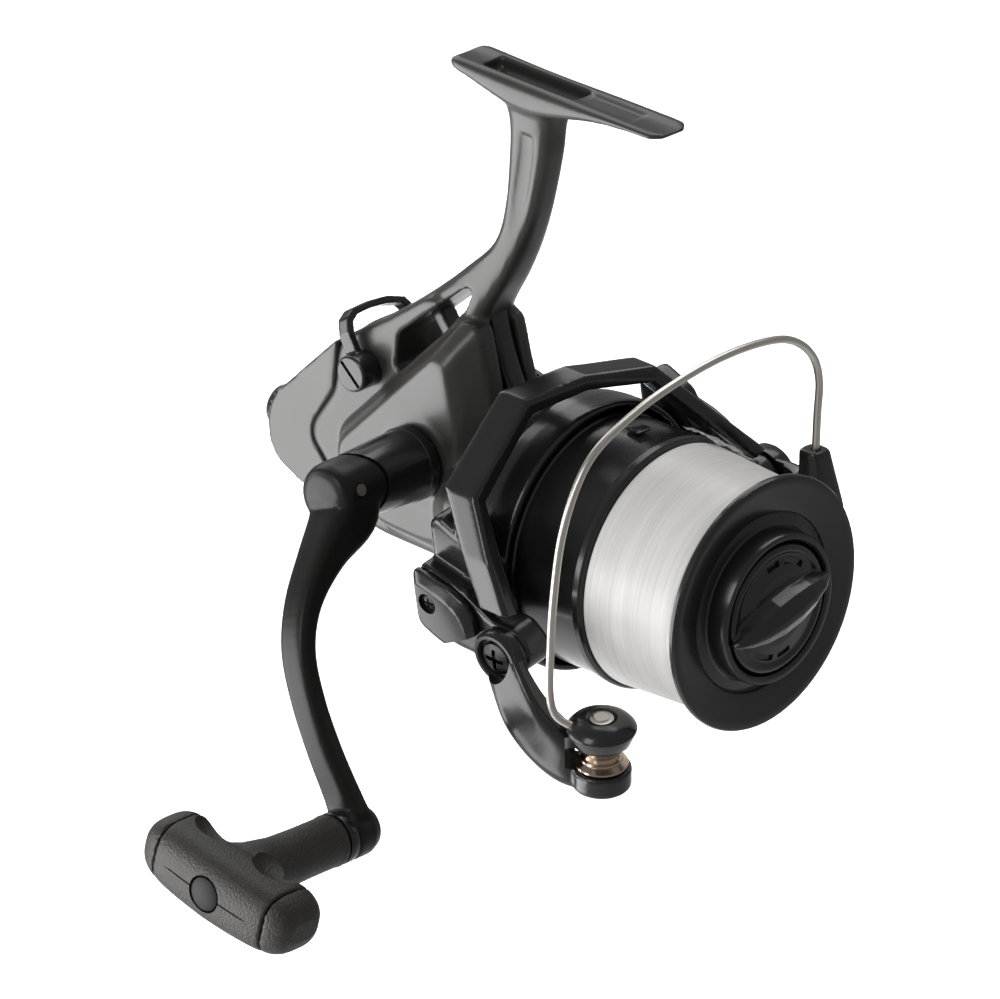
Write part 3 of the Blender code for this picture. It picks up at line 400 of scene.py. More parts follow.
DARK_STEEL = WorkedMetal("blackened_steel", (0.050, 0.048, 0.047), (0.028, 0.027, 0.027), 0.3)
ARM_PAINT = MouldedPlastic("arm_paint", (0.010, 0.010, 0.010), (0.018, 0.017, 0.016), 0.36, 0.1, 1400.0, 0.04,
                           0.0, 0.28)
FINISHES = {
    Slot.BLACK: MouldedPlastic("gloss_black"),
    Slot.CASTING: MouldedPlastic("satin_casting", (0.034, 0.033, 0.032), (0.052, 0.050, 0.048), 0.36, 0.10,
                                 1100.0, 0.06, 0.15, 0.6),
    Slot.RUBBER: GrainedRubber("grained_grip"),
    Slot.STEEL: WorkedMetal("brushed_steel", (0.74, 0.70, 0.65), (0.58, 0.55, 0.51), 0.3,
                            (260.0, 260.0, 60.0), 0.02),
    Slot.BRASS: WorkedMetal("cut_brass", (0.66, 0.49, 0.22), (0.45, 0.31, 0.12), 0.3),
    Slot.ALLOY: WorkedMetal("cast_alloy", (0.46, 0.46, 0.47), (0.30, 0.30, 0.31), 0.42, (90.0, 90.0, 90.0)),
    Slot.BRONZE: WorkedMetal("roller_bronze", (0.64, 0.52, 0.42), (0.44, 0.33, 0.25), 0.18),
    Slot.LINE: WoundNylon("wound_nylon"),
    Slot.FELT: PressedFelt("pressed_felt"),
}


# ---------------------------------------------------------------- mesh tools


def rounded_outline(corners: Sequence[Pair], radius: float, steps: int = 4) -> list[Pair]:
    """Round the corners of a closed outline with arcs.

    Args:
        corners: the outline's corners.
        radius: the arcs' reach from each corner.
        steps: spans in each arc.

    Returns:
        The rounded outline.
    """
    result: list[Pair] = []
    count = len(corners)
    for i, corner in enumerate(corners):
        here = Vector(corner)
        back = Vector(corners[i - 1]) - here
        ahead = Vector(corners[(i + 1) % count]) - here
        reach = min(radius, back.length * 0.45, ahead.length * 0.45)
        start = here + back.normalized() * reach
        stop = here + ahead.normalized() * reach
        for k in range(steps + 1):
            t = k / steps
            point = start * (1.0 - t) ** 2 + here * 2.0 * t * (1.0 - t) + stop * t ** 2
            result.append((point.x, point.y))
    return result


def smooth_path(points: Sequence[Sequence[float]], parts: int) -> list[Vector]:
    """Read a Catmull-Rom curve through points of any dimension.

    Args:
        points: the points to pass through.
        parts: spans between two points.

    Returns:
        The points of the curve.
    """
    knots = [Vector(p) for p in points]
    ends = [2.0 * knots[0] - knots[1], *knots, 2.0 * knots[-1] - knots[-2]]
    path: list[Vector] = []
    for i in range(1, len(ends) - 2):
        before, start, stop, after = ends[i - 1:i + 3]
        for k in range(parts):
            t = k / parts
            path.append(0.5 * (2.0 * start + (stop - before) * t
                               + (2.0 * before - 5.0 * start + 4.0 * stop - after) * t * t
                               + (3.0 * start - before - 3.0 * stop + after) * t ** 3))
    path.append(knots[-1])
    return path


def oval(across: Vector, up: Vector, centre: Vector, half_across: float, half_up: float,
         squareness: float = 2.0, count: int = 24) -> list[Vector]:
    """Points of a superellipse: 2 is an ellipse, more is squarer.

    Args:
        across: first direction.
        up: second direction.
        centre: middle of the section.
        half_across: half size along the first direction.
        half_up: half size along the second direction.
        squareness: the superellipse's exponent.
        count: number of points.

    Returns:
        The points in order.
    """
    points = []
    for k in range(count):
        angle = 2.0 * math.pi * (k + 0.5) / count
        x = math.copysign(abs(math.cos(angle)) ** (2.0 / squareness), math.cos(angle))
        y = math.copysign(abs(math.sin(angle)) ** (2.0 / squareness), math.sin(angle))
        points.append(centre + across * (x * half_across) + up * (y * half_up))
    return points


def axes_of(along: Vector, hint: Vector) -> tuple[Vector, Vector]:
    """Two unit directions square to a direction, the first near a hint."""
    z_unit = along.normalized()
    x_unit = (hint - z_unit * hint.dot(z_unit)).normalized()
    return x_unit, z_unit.cross(x_unit)


def standing(at: Sequence[float], along: Sequence[float], hint: Sequence[float] = (0.0, 0.0, 1.0)) -> Matrix:
    """Place whose local Z runs along a direction and whose local X is near a hint."""
    z_unit = Vector(along).normalized()
    x_unit, y_unit = axes_of(z_unit, Vector(hint))
    turn = Matrix((x_unit, y_unit, z_unit)).transposed().to_4x4()
    return Matrix.Translation(Vector(at)) @ turn


@dataclass
class Solid:
    """A closed shape under work, in millimetres."""

    mesh: bmesh.types.BMesh = field(default_factory=bmesh.new)

    def absorb(self, *others: "Solid") -> "Solid":
        """Take other solids' faces in and free them."""
        for other in others:
            scratch = bpy.data.meshes.new("scratch")
            other.mesh.to_mesh(scratch)
            other.mesh.free()
            self.mesh.from_mesh(scratch)
            bpy.data.meshes.remove(scratch)
        return self

    def moved(self, place: Matrix) -> "Solid":
        """Place the solid."""
        bmesh.ops.transform(self.mesh, matrix=place, verts=self.mesh.verts)
        return self.faced_out()

    def faced_out(self) -> "Solid":
        """Merge doubles and turn the faces outwards."""
        bmesh.ops.remove_doubles(self.mesh, verts=self.mesh.verts, dist=0.0005)
        bmesh.ops.recalc_face_normals(self.mesh, faces=self.mesh.faces)
        return self

    def eased(self, offset: float, segments: int = 2, angle: float = 28.0) -> "Solid":
        """Bevel the edges sharper than an angle."""
        limit = math.radians(angle)
        edges = [e for e in self.mesh.edges if len(e.link_faces) == 2 and e.calc_face_angle(0.0) > limit]
        bmesh.ops.bevel(self.mesh, geom=edges, offset=offset, segments=segments, profile=0.5, affect="EDGES",
                        material=-1, clamp_overlap=True)
        return self


IDENTITY = Matrix.Identity(4)


def turned(profile: Sequence[Pair], place: Matrix = IDENTITY, steps: int = 64) -> Solid:
    """Spin a profile of (radius, along) points about local Z.

    Args:
        profile: points down the outer side; ends on the axis, or a loop clear of it.
        place: where the solid goes.
        steps: spans round the circle.

    Returns:
        The solid.
    """
    solid = Solid()
    verts = [solid.mesh.verts.new((radius, 0.0, along)) for radius, along in profile]
    edges = [solid.mesh.edges.new(pair) for pair in zip(verts, verts[1:])]
    if profile[0][0] > 0.0 and profile[-1][0] > 0.0:
        edges.append(solid.mesh.edges.new((verts[-1], verts[0])))
    bmesh.ops.spin(solid.mesh, geom=verts + edges, cent=(0.0, 0.0, 0.0), axis=(0.0, 0.0, 1.0),
                   angle=2.0 * math.pi, steps=steps, use_merge=True, use_duplicate=False)
    return solid.moved(place)


def rod(radius: float, low: float, high: float, place: Matrix = IDENTITY, steps: int = 32) -> Solid:
    """A plain round rod along local Z."""
    return turned([(0.0, high), (radius, high), (radius, low), (0.0, low)], place, steps)


def plate(outline: Sequence[Pair], low: float, high: float, place: Matrix = IDENTITY) -> Solid:
    """Extrude a flat outline along local Z."""
    solid = Solid()
    face = solid.mesh.faces.new([solid.mesh.verts.new((x, y, low)) for x, y in outline])
    grown = bmesh.ops.extrude_face_region(solid.mesh, geom=[face])
    tops = [item for item in grown["geom"] if isinstance(item, bmesh.types.BMVert)]
    bmesh.ops.translate(solid.mesh, verts=tops, vec=(0.0, 0.0, high - low))
    return solid.moved(place)


def block(low: Sequence[float], high: Sequence[float], place: Matrix = IDENTITY) -> Solid:
    """A box between two corners."""
    solid = Solid()
    bmesh.ops.create_cube(solid.mesh, size=1.0)
    size = Vector(high) - Vector(low)
    middle = (Vector(high) + Vector(low)) / 2.0
    bmesh.ops.scale(solid.mesh, verts=solid.mesh.verts, vec=size)
    bmesh.ops.translate(solid.mesh, verts=solid.mesh.verts, vec=middle)
    return solid.moved(place)


def ball(centre: Sequence[float], radii: Sequence[float]) -> Solid:
    """An ellipsoid."""
    solid = Solid()
    bmesh.ops.create_uvsphere(solid.mesh, u_segments=32, v_segments=20, radius=1.0)
    bmesh.ops.scale(solid.mesh, verts=solid.mesh.verts, vec=Vector(radii))
    bmesh.ops.translate(solid.mesh, verts=solid.mesh.verts, vec=Vector(centre))
    return solid.faced_out()


def loft(rings: Sequence[Sequence[Vector]]) -> Solid:
    """Bridge rings of points and cap both ends."""
    solid = Solid()
    loops = []
    for ring in rings:
        verts = [solid.mesh.verts.new(point) for point in ring]
        loops.append([solid.mesh.edges.new((verts[i - 1], verts[i])) for i in range(len(verts))])
    for first, second in zip(loops, loops[1:]):
        bmesh.ops.bridge_loops(solid.mesh, edges=first + second)
    bmesh.ops.contextual_create(solid.mesh, geom=loops[0])
    bmesh.ops.contextual_create(solid.mesh, geom=loops[-1])
    return solid.faced_out()


def tube(path: Sequence[Vector], radii: Sequence[float], hint: Vector, flat: float = 1.0,
         squareness: float = 2.0, count: int = 16) -> Solid:
    """Sweep an oval section along a path.

    Args:
        path: middle of each section.
        radii: half size of each section along the hint's direction.
        hint: direction that the section's first axis keeps to.
        flat: the other half size over the first.
        squareness: the section's superellipse exponent.
        count: points round a section.

    Returns:
        The solid.
    """
    rings = []
    for i, (centre, radius) in enumerate(zip(path, radii)):
        run = path[min(i + 1, len(path) - 1)] - path[max(i - 1, 0)]
        across, up = axes_of(run, hint)
        rings.append(oval(across, up, centre, radius, radius * flat, squareness, count))
    return loft(rings)


def as_mesh(solid: Solid, name: str) -> bpy.types.Mesh:
    """Turn a solid into mesh data and free it."""
    mesh = bpy.data.meshes.new(name)
    solid.mesh.to_mesh(mesh)
    solid.mesh.free()
    return mesh


def scratch_object(solid: Solid) -> bpy.types.Object:
    """Put a solid in the scene for a modifier to use."""
    made = bpy.data.objects.new("scratch", as_mesh(solid, "scratch"))
    bpy.context.scene.collection.objects.link(made)
    return made


def worked(solid: Solid, cuts: Sequence[Solid] = (), voxel: float = 0.0, smooth: int = 0,
           melt: bool = False) -> Solid:
    """Fuse overlapping solids into one skin, cut it and ease its creases.

    Args:
        solid: the solids to fuse.
        cuts: shapes to take away.
        voxel: size of the fusing grid, or 0 to leave the faces as they are.
        smooth: smoothing rounds after fusing.
        melt: fuse again after the cuts, so that their edges are eased too.

    Returns:
        The finished solid.
    """
    holder = scratch_object(solid)
    helpers = [scratch_object(cut) for cut in cuts]

    def fuse(rounds: int) -> None:
        """Add the fusing and smoothing modifiers."""
        step = holder.modifiers.new("fuse", "REMESH")
        step.mode = "VOXEL"
        step.voxel_size = voxel
        ease = holder.modifiers.new("ease", "SMOOTH")
        ease.iterations = rounds
        ease.factor = 0.5

    if voxel:
        fuse(smooth)
    for helper in helpers:
        cut = holder.modifiers.new("cut", "BOOLEAN")
        cut.operation = "DIFFERENCE"
        cut.object = helper
        cut.solver = "EXACT"
    if voxel and melt:
        fuse(2)
    bpy.context.view_layer.update()
    graph = bpy.context.evaluated_depsgraph_get()
    mesh = bpy.data.meshes.new_from_object(holder.evaluated_get(graph))
    result = Solid()
    result.mesh.from_mesh(mesh)
    for old in (holder, *helpers):
        bpy.data.objects.remove(old, do_unlink=True)
    return result


# ---------------------------------------------------------------- the workshop


@dataclass
class Workshop:
    """Turns finished solids into pieces on the frame."""

    frame: dict
    lip: Vector
    materials: dict[Slot, bpy.types.Material] = field(default_factory=dict)

    def material(self, slot: Slot) -> bpy.types.Material:
        """Return a slot's material, made once."""
        if slot not in self.materials:
            self.materials[slot] = FINISHES[slot].make()
        return self.materials[slot]

    def piece(self, name: str, solid: Solid, slot: Slot, body: Body, nodes: Iterable[str] = (),
              sharp: float = 34.0, finish: Optional[bpy.types.Material] = None) -> bpy.types.Object:
        """Finish a piece: metres, smooth faces, material, body and replaced nodes.

        Args:
            name: the piece's name.
            solid: its shape in millimetres from the lip centre.
            slot: material slot of the record.
            body: body that it rides on.
            nodes: frame nodes that it stands for.
            sharp: angle in degrees above which an edge stays crisp.
            finish: material, where it isn't the slot's own.

        Returns:
            The object.
        """
        bmesh.ops.transform(solid.mesh, matrix=Matrix.Translation(self.lip) @ Matrix.Scale(MM, 4),
                            verts=solid.mesh.verts)
        mesh = as_mesh(solid, name)
        mesh.polygons.foreach_set("use_smooth", [True] * len(mesh.polygons))
        mesh.set_sharp_from_angle(angle=math.radians(sharp))
        mesh.materials.append(finish or self.material(slot))
        made = bpy.data.objects.new(name, mesh)
        bpy.context.scene.collection.objects.link(made)
        for node in nodes:
            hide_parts(node)
        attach(made, body.value)
        LOG.info("%s: %d faces on %s", name, len(mesh.polygons), body.value)
        return made

    def dress_frame(self) -> None:
        """Give every frame node that stays the material of its slot."""
        slots = {item["node"]: item["material_slot"] for item in self.frame["record"]["subparts"]}
        for name, node in self.frame["nodes"].items():
            material = self.material(Slot(slots[name]))
            if not node.material_slots:
                node.data.materials.append(material)
            for holder in node.material_slots:
                holder.material = material


# ---------------------------------------------------------------- places shared with the frame

ALONG_X = Euler((0.0, math.radians(90.0), 0.0)).to_matrix().to_4x4()
ALONG_Y = Euler((math.radians(-90.0), 0.0, 0.0)).to_matrix().to_4x4()
SIDE = Matrix(((0.0, 0.0, 1.0, 0.0), (1.0, 0.0, 0.0, 0.0), (0.0, 1.0, 0.0, 0.0), (0.0, 0.0, 0.0, 1.0)))
FRONT = Matrix(((1.0, 0.0, 0.0, 0.0), (0.0, 0.0, -1.0, 0.0), (0.0, 1.0, 0.0, 0.0), (0.0, 0.0, 0.0, 1.0)))
CRANK_CENTRE = Vector((0.0, 98.3, 9.9))
LEVER_CENTRE = Vector((0.0, 122.3, 24.0))
ARM_LEAN = math.radians(22.7)
ARM_AXIS = Vector((0.0, -math.sin(ARM_LEAN), -math.cos(ARM_LEAN)))
FOLD_AXIS = Vector((0.0, math.cos(ARM_LEAN), -math.sin(ARM_LEAN)))
FOLD_X = -44.0
KNUCKLE_RADIUS = 9.4
ARM_LENGTH = 77.3
GAP = 0.35
PIVOT_TURN = math.radians(11.5)
PIVOT_AXIS = Vector((-math.cos(PIVOT_TURN), 0.0, -math.sin(PIVOT_TURN)))
PIVOT_UP = Vector((-math.sin(PIVOT_TURN), 0.0, math.cos(PIVOT_TURN)))
PIVOT_CENTRE = PIVOT_UP * -3.7 + Vector((0.0, 42.2, 0.0))
ROLLER_CENTRE = Vector((-40.6, 14.0, -30.3))
ROLLER_AXIS = Vector((-0.14, -0.08, 0.987)).normalized()


def crank_place() -> Matrix:
    """Place on the crank's axis, with local Z along +X."""
    return Matrix.Translation(CRANK_CENTRE) @ ALONG_X


def fold_place() -> Matrix:
    """Place on the fold pin, with local Z along it."""
    return standing(CRANK_CENTRE + Vector((FOLD_X, 0.0, 0.0)), FOLD_AXIS, (1.0, 0.0, 0.0))


def pivot_place(side: float) -> Matrix:
    """Place on the bail's axis, local Z outwards, local X forwards, on the near (1) or far (-1) side."""
    return standing(PIVOT_CENTRE, PIVOT_AXIS * side, (0.0, -1.0, 0.0))


def cross_screw(radius: float, height: float, place: Matrix) -> Solid:
    """A domed screw head with a cross recess, its underside at local Z of 0."""
    head = turned([(0.0, height), (radius * 0.55, height * 0.94), (radius * 0.9, height * 0.62),
                   (radius, height * 0.25), (radius, 0.0), (0.0, 0.0)], steps=36)
    arm = radius * 0.62
    half = radius * 0.13
    cuts = [block((-arm, -half, height * 0.35), (arm, half, height + 1.0)),
            block((-half, -arm, height * 0.35), (half, arm, height + 1.0))]
    return worked(head, cuts).moved(place)


# ---------------------------------------------------------------- casing


@dataclass
class Casing:
    """Body casting, its covers and what is fixed to them."""

    shop: Workshop
    seat: float = 111.0
    foot_half: float = 6.8
    foot_front: float = 35.0
    foot_rear: float = 102.0
    core_outline: tuple[Pair, ...] = (
        (76.0, -17.0), (76.0, 24.0), (84.2, 29.2), (88.3, 34.0), (89.6, 42.0), (92.0, 47.0), (104.0, 49.0),
        (118.0, 38.2), (132.0, 28.6), (133.4, 24.0), (133.8, 15.0), (140.8, 4.0), (140.8, -0.5),
        (135.3, -6.0), (128.6, -16.6), (115.0, -18.2), (98.0, -18.4))
    cheek_outline: tuple[Pair, ...] = (
        (80.0, -13.0), (80.0, 24.0), (86.4, 46.0), (91.6, 46.4), (131.0, 4.6), (126.0, -8.0), (112.0, -15.4),
        (90.0, -16.0))
    window_outline: tuple[Pair, ...] = (
        (113.0, 36.0), (94.0, 53.2), (91.0, 53.6), (92.6, 48.4), (97.1, 42.2), (112.0, 26.4), (113.6, 27.0))
    rear_outline: tuple[Pair, ...] = (
        (132.5, 28.5), (132.7, 24.0), (133.1, 14.9), (140.1, 3.9), (140.1, -0.5), (134.6, -5.9),
        (127.9, -16.8), (137.0, -14.8), (146.0, -12.4), (151.6, -10.0), (154.8, -6.6), (155.8, -1.0),
        (154.8, 4.6), (151.0, 9.4), (141.6, 19.0))

    def stem(self) -> Solid:
        """The neck from the body to the foot, as a loft of rounded sections."""
        rows = ((107.0, 69.0, 88.0, 6.4), (103.5, 70.6, 86.0, 5.6), (99.0, 71.4, 84.8, 4.9),
                (92.0, 71.9, 84.5, 4.7), (78.0, 74.7, 84.9, 4.8), (67.0, 78.3, 87.4, 5.5),
                (57.5, 82.4, 96.2, 6.4), (50.0, 86.5, 104.2, 7.3), (43.0, 89.1, 112.6, 7.8),
                (37.0, 88.6, 120.6, 7.6), (30.0, 86.2, 130.2, 7.0), (22.0, 84.0, 132.0, 8.4))
        rings = []
        for level, front, rear, half in smooth_path(rows, 4):
            centre = Vector((0.0, (front + rear) / 2.0, level))
            rings.append(oval(X_AXIS, Y_AXIS, centre, half,
                              (rear - front) / 2.0, 3.6, 40))
        return loft(rings)

    def foot(self) -> Solid:
        """The foot, thick over the stem and thin at its rounded ends."""
        middle = (self.foot_front + self.foot_rear) / 2.0
        half = (self.foot_rear - self.foot_front) / 2.0
        rings = []
        steps = 30
        stem_middle = 78.0
        stem_reach = 19.0
        thin = 1.7
        swelling = 6.0
        for k in range(steps + 1):
            t = -1.0 + 2.0 * k / steps
            along = middle + half * t * 0.999
            corner, narrowing = (0.93, 0.3) if t > 0.0 else (0.88, 0.66)
            edge = max(0.0, (abs(t) - corner) / (1.0 - corner))
            wide = self.foot_half * math.sqrt(max(0.02, 1.0 - narrowing * edge ** 2.4))
            thick = thin + swelling * math.exp(-((along - stem_middle) / stem_reach) ** 2)
            centre = Vector((0.0, along, self.seat - thick / 2.0))
            rings.append(oval(X_AXIS, Z_AXIS, centre, wide, thick / 2.0,
                              4.4, 36))
        return loft(rings)

    def cheeks(self) -> Solid:
        """The swollen part round the gears, with sloping facets to the core."""
        solid = Solid()
        centre = Vector((106.0, 8.0))
        for side in (-1.0, 1.0):
            rings = []
            for across, inset in ((4.0, 0.0), (9.2, 0.0), (14.6, 0.17), (16.6, 0.25)):
                ring = []
                for corner in rounded_outline(self.cheek_outline, 5.0, 4):
                    point = Vector(corner).lerp(centre, inset)
                    ring.append(Vector((side * across, point.x, point.y)))
                rings.append(ring)
            solid.absorb(loft(rings))
        slope = [(18.4, 8.0), (11.4, 20.0), (7.6, 30.0), (6.6, 60.0), (30.0, 60.0), (30.0, 8.0)]
        return worked(solid, [plate(slope, -140.0, -60.0, FRONT)])

    def casting(self) -> None:
        """Body, neck, stem and foot in one skin."""
        core = plate(rounded_outline(self.core_outline, 2.5, 2), -8.6, 8.6, SIDE).eased(2.4, 2)
        nose = turned([(0.0, 71.2), (19.8, 71.2), (21.2, 72.6), (21.5, 78.0), (20.4, 86.0), (15.0, 95.0),
                       (0.0, 99.0)], ALONG_Y, 72)
        boss = turned([(0.0, -16.9), (10.6, -16.9), (11.2, -16.0), (12.4, -8.0), (0.0, -8.0)], crank_place())
        skin = Solid().absorb(core, self.cheeks(), nose, boss, self.stem(), self.foot())
        cuts = self.body_cuts()
        solid = worked(skin, cuts, 0.62, 5, True)
        gear_room = block((-7.4, 82.5, -14.2), (15.6, 127.5, 15.0))
        solid = worked(solid, [gear_room])
        self.shop.piece("body_casting", solid, Slot.CASTING, Body.CASING, ["body_housing"], 60.0)

    def body_cuts(self) -> list[Solid]:
        """Everything that is cut into the casting."""
        outline = rounded_outline(self.window_outline, 1.4, 3)
        front_bay = ((105.2, 42.8), (94.0, 53.2), (91.2, 53.6), (92.8, 48.6), (97.3, 42.2), (101.2, 38.0))
        rear_bay = ((113.0, 35.8), (107.6, 40.8), (103.6, 35.8), (112.0, 26.6), (113.4, 27.4))
        cuts = [plate(outline, -20.0, -2.6, SIDE), plate(outline, 2.6, 20.0, SIDE)]
        cuts += [plate(rounded_outline(bay, 1.0, 3), -20.0, 20.0, SIDE) for bay in (front_bay, rear_bay)]
        saddle = rod(19.0, 20.0, 120.0, Matrix.Translation((0.0, 0.0, self.seat + 18.4)) @ ALONG_Y, 96)
        cuts.append(saddle)
        cuts.append(block((-3.3, 46.0, self.seat - 0.9), (3.3, 63.0, self.seat + 3.0)))
        cuts.append(block((-3.3, 64.0, self.seat - 3.6), (3.3, 94.0, self.seat + 3.0)))
        for side in (-1.0, 1.0):
            scoop = smooth_path(((side * 6.6, 77.4, 98.0), (side * 6.4, 77.8, 90.0), (side * 6.5, 79.2, 80.0),
                                 (side * 7.6, 80.4, 70.0)), 4)
            cuts.append(tube(scoop, [2.4] * len(scoop), X_AXIS, 1.5, 2.6))
        cuts.append(rod(7.4, -24.0, -2.0, crank_place(), 40))
        cuts.append(rod(10.6, 60.0, 80.0, ALONG_Y, 48))
        return cuts

    def covers(self) -> None:
        """Rear cover, side cover, guard, cap and small screws."""
        rear = plate(rounded_outline(self.rear_outline, 1.6, 2), -8.8, 8.8, SIDE).eased(1.2, 2)
        rear = worked(rear, [self.rear_taper(-1.0), self.rear_taper(1.0)], 0.5, 3, True)
        well = worked(rear, [rod(6.7, 145.0, 170.0, ALONG_Y, 40)])
        self.shop.piece("rear_cover_shell", well, Slot.CASTING, Body.CASING, ["rear_cover"], 50.0)
        outline = [(78.4, -12.2), (78.4, 17.8), (88.2, 25.6), (101.6, 26.6), (117.0, 17.2), (127.0, 9.0),
                   (127.8, -11.4), (115.6, -13.8), (92.0, -14.2)]
        side = plate(rounded_outline(outline, 4.0, 4), 16.2, 17.9, SIDE).eased(0.7, 2)
        rim = turned([(11.4, 19.0), (10.6, 19.6), (8.4, 19.6), (8.0, 17.4), (11.8, 17.4)], crank_place(), 64)
        self.shop.piece("side_cover_plate", Solid().absorb(side, rim), Slot.CASTING, Body.CASING,
                        ["side_cover"], 40.0)
        self.guard()
        self.cap()
        for i, (along, level) in enumerate(((80.5, 0.0), (104.0, -10.4), (121.0, 10.0)), start=1):
            place = standing((17.7, along, level), (1.0, 0.0, 0.0))
            self.shop.piece(f"cover_screw_{i}", cross_screw(2.0, 0.9, place), Slot.STEEL, Body.CASING,
                            [f"side_cover_screw_{i}"])

    @staticmethod
    def rear_taper(side: float) -> Solid:
        """Wedge that narrows the rear cover towards its end."""
        outline = [(side * 9.0, 132.0), (side * 7.0, 160.0), (side * 20.0, 160.0), (side * 20.0, 132.0)]
        return plate(outline, -40.0, 40.0)

    def guard(self) -> None:
        """Narrow guard on the front of the neck."""
        rows = ((28.6, 81.6, 2.8), (34.0, 84.8, 3.2), (40.0, 87.2, 3.2), (45.0, 88.6, 2.9), (50.0, 89.4, 2.0))
        path = smooth_path([(0.0, along, level) for level, along, _ in rows], 5)
        radii = [v.x for v in smooth_path([(half, 0.0, 0.0) for _, _, half in rows], 5)]
        solid = tube(path, radii, X_AXIS, 0.5, 3.0, 24)
        self.shop.piece("neck_guard", solid, Slot.BLACK, Body.CASING, ["front_guard"])

    def cap(self) -> None:
        """Ribbed screw cap opposite the handle."""
        ribs = 24
        outline = []
        for k in range(ribs * 4):
            radius = 6.2 if k % 4 < 2 else 5.8
            angle = 2.0 * math.pi * k / (ribs * 4)
            outline.append((radius * math.cos(angle), radius * math.sin(angle)))
        grip = plate(outline, 17.6, 22.2, crank_place()).eased(0.25, 1)
        crown = turned([(0.0, 23.4), (3.4, 23.2), (5.2, 22.4), (5.4, 21.8), (0.0, 21.8)], crank_place())
        self.shop.piece("crank_screw_cap", Solid().absorb(grip, crown), Slot.BLACK, Body.CASING,
                        ["screw_cap"], 40.0)

    def rear_knob(self) -> None:
        """Fluted knob at the tail."""
        profile = [(0.0, 160.0), (3.0, 159.7), (5.0, 158.4), (6.0, 156.4), (6.1, 154.0), (6.1, 146.4),
                   (0.0, 146.4)]
        flutes = [rod(1.0, 152.0, 162.0, ALONG_Y @ Matrix.Rotation(2.0 * math.pi * k / 14, 4, "Z")
                      @ Matrix.Translation((6.7, 0.0, 0.0)), 16) for k in range(14)]
        knob = worked(turned(profile, ALONG_Y, 64), flutes)
        self.shop.piece("tail_knob", knob, Slot.BLACK, Body.REAR_KNOB, ["rear_drag_knob"])

    def build(self) -> None:
        """Build the casing."""
        self.casting()
        self.covers()
        self.rear_knob()


@dataclass
class BaitLever:
    """Yoke lever that straddles the tail ridge."""

    shop: Workshop
    lean: float = math.radians(33.0)
    depth: float = 1.9

    def build(self) -> None:
        """Yoke, barrels and slotted pin."""
        outline = [(-12.0, -1.0), (-12.0, 9.4), (-10.4, 13.0), (-7.6, 14.6), (-2.0, 14.9), (4.6, 14.3),
                   (9.6, 12.6), (11.6, 9.4), (11.6, -1.0), (9.8, -1.0), (9.8, 9.2), (8.2, 11.4), (3.8, 12.6),
                   (-2.0, 13.1), (-6.8, 12.8), (-9.0, 11.5), (-10.0, 8.8), (-10.0, -1.0)]
        place = Matrix.Translation(LEVER_CENTRE) @ Matrix.Rotation(-self.lean, 4, "X") @ FRONT
        yoke = plate(outline, -self.depth, self.depth, place)
        axis = Matrix.Translation(LEVER_CENTRE) @ ALONG_X
        near = turned([(0.0, -14.9), (4.1, -14.9), (4.6, -14.4), (4.6, -8.9), (0.0, -8.9)], axis, 48)
        far = turned([(0.0, 14.9), (4.1, 14.9), (4.6, 14.4), (4.6, 8.9), (0.0, 8.9)], axis, 48)
        solid = worked(Solid().absorb(yoke, near, far), (), 0.32, 3)
        slot_turn = Matrix.Rotation(math.radians(40.0), 4, "Z")
        slot = block((-0.5, -3.9, -16.0), (0.5, 3.9, -14.2), axis @ slot_turn)
        solid = worked(solid, [slot])
        self.shop.piece("bait_lever_yoke", solid, Slot.BLACK, Body.LEVER, ["bait_lever"], 40.0)


# ---------------------------------------------------------------- crank, handle and knob


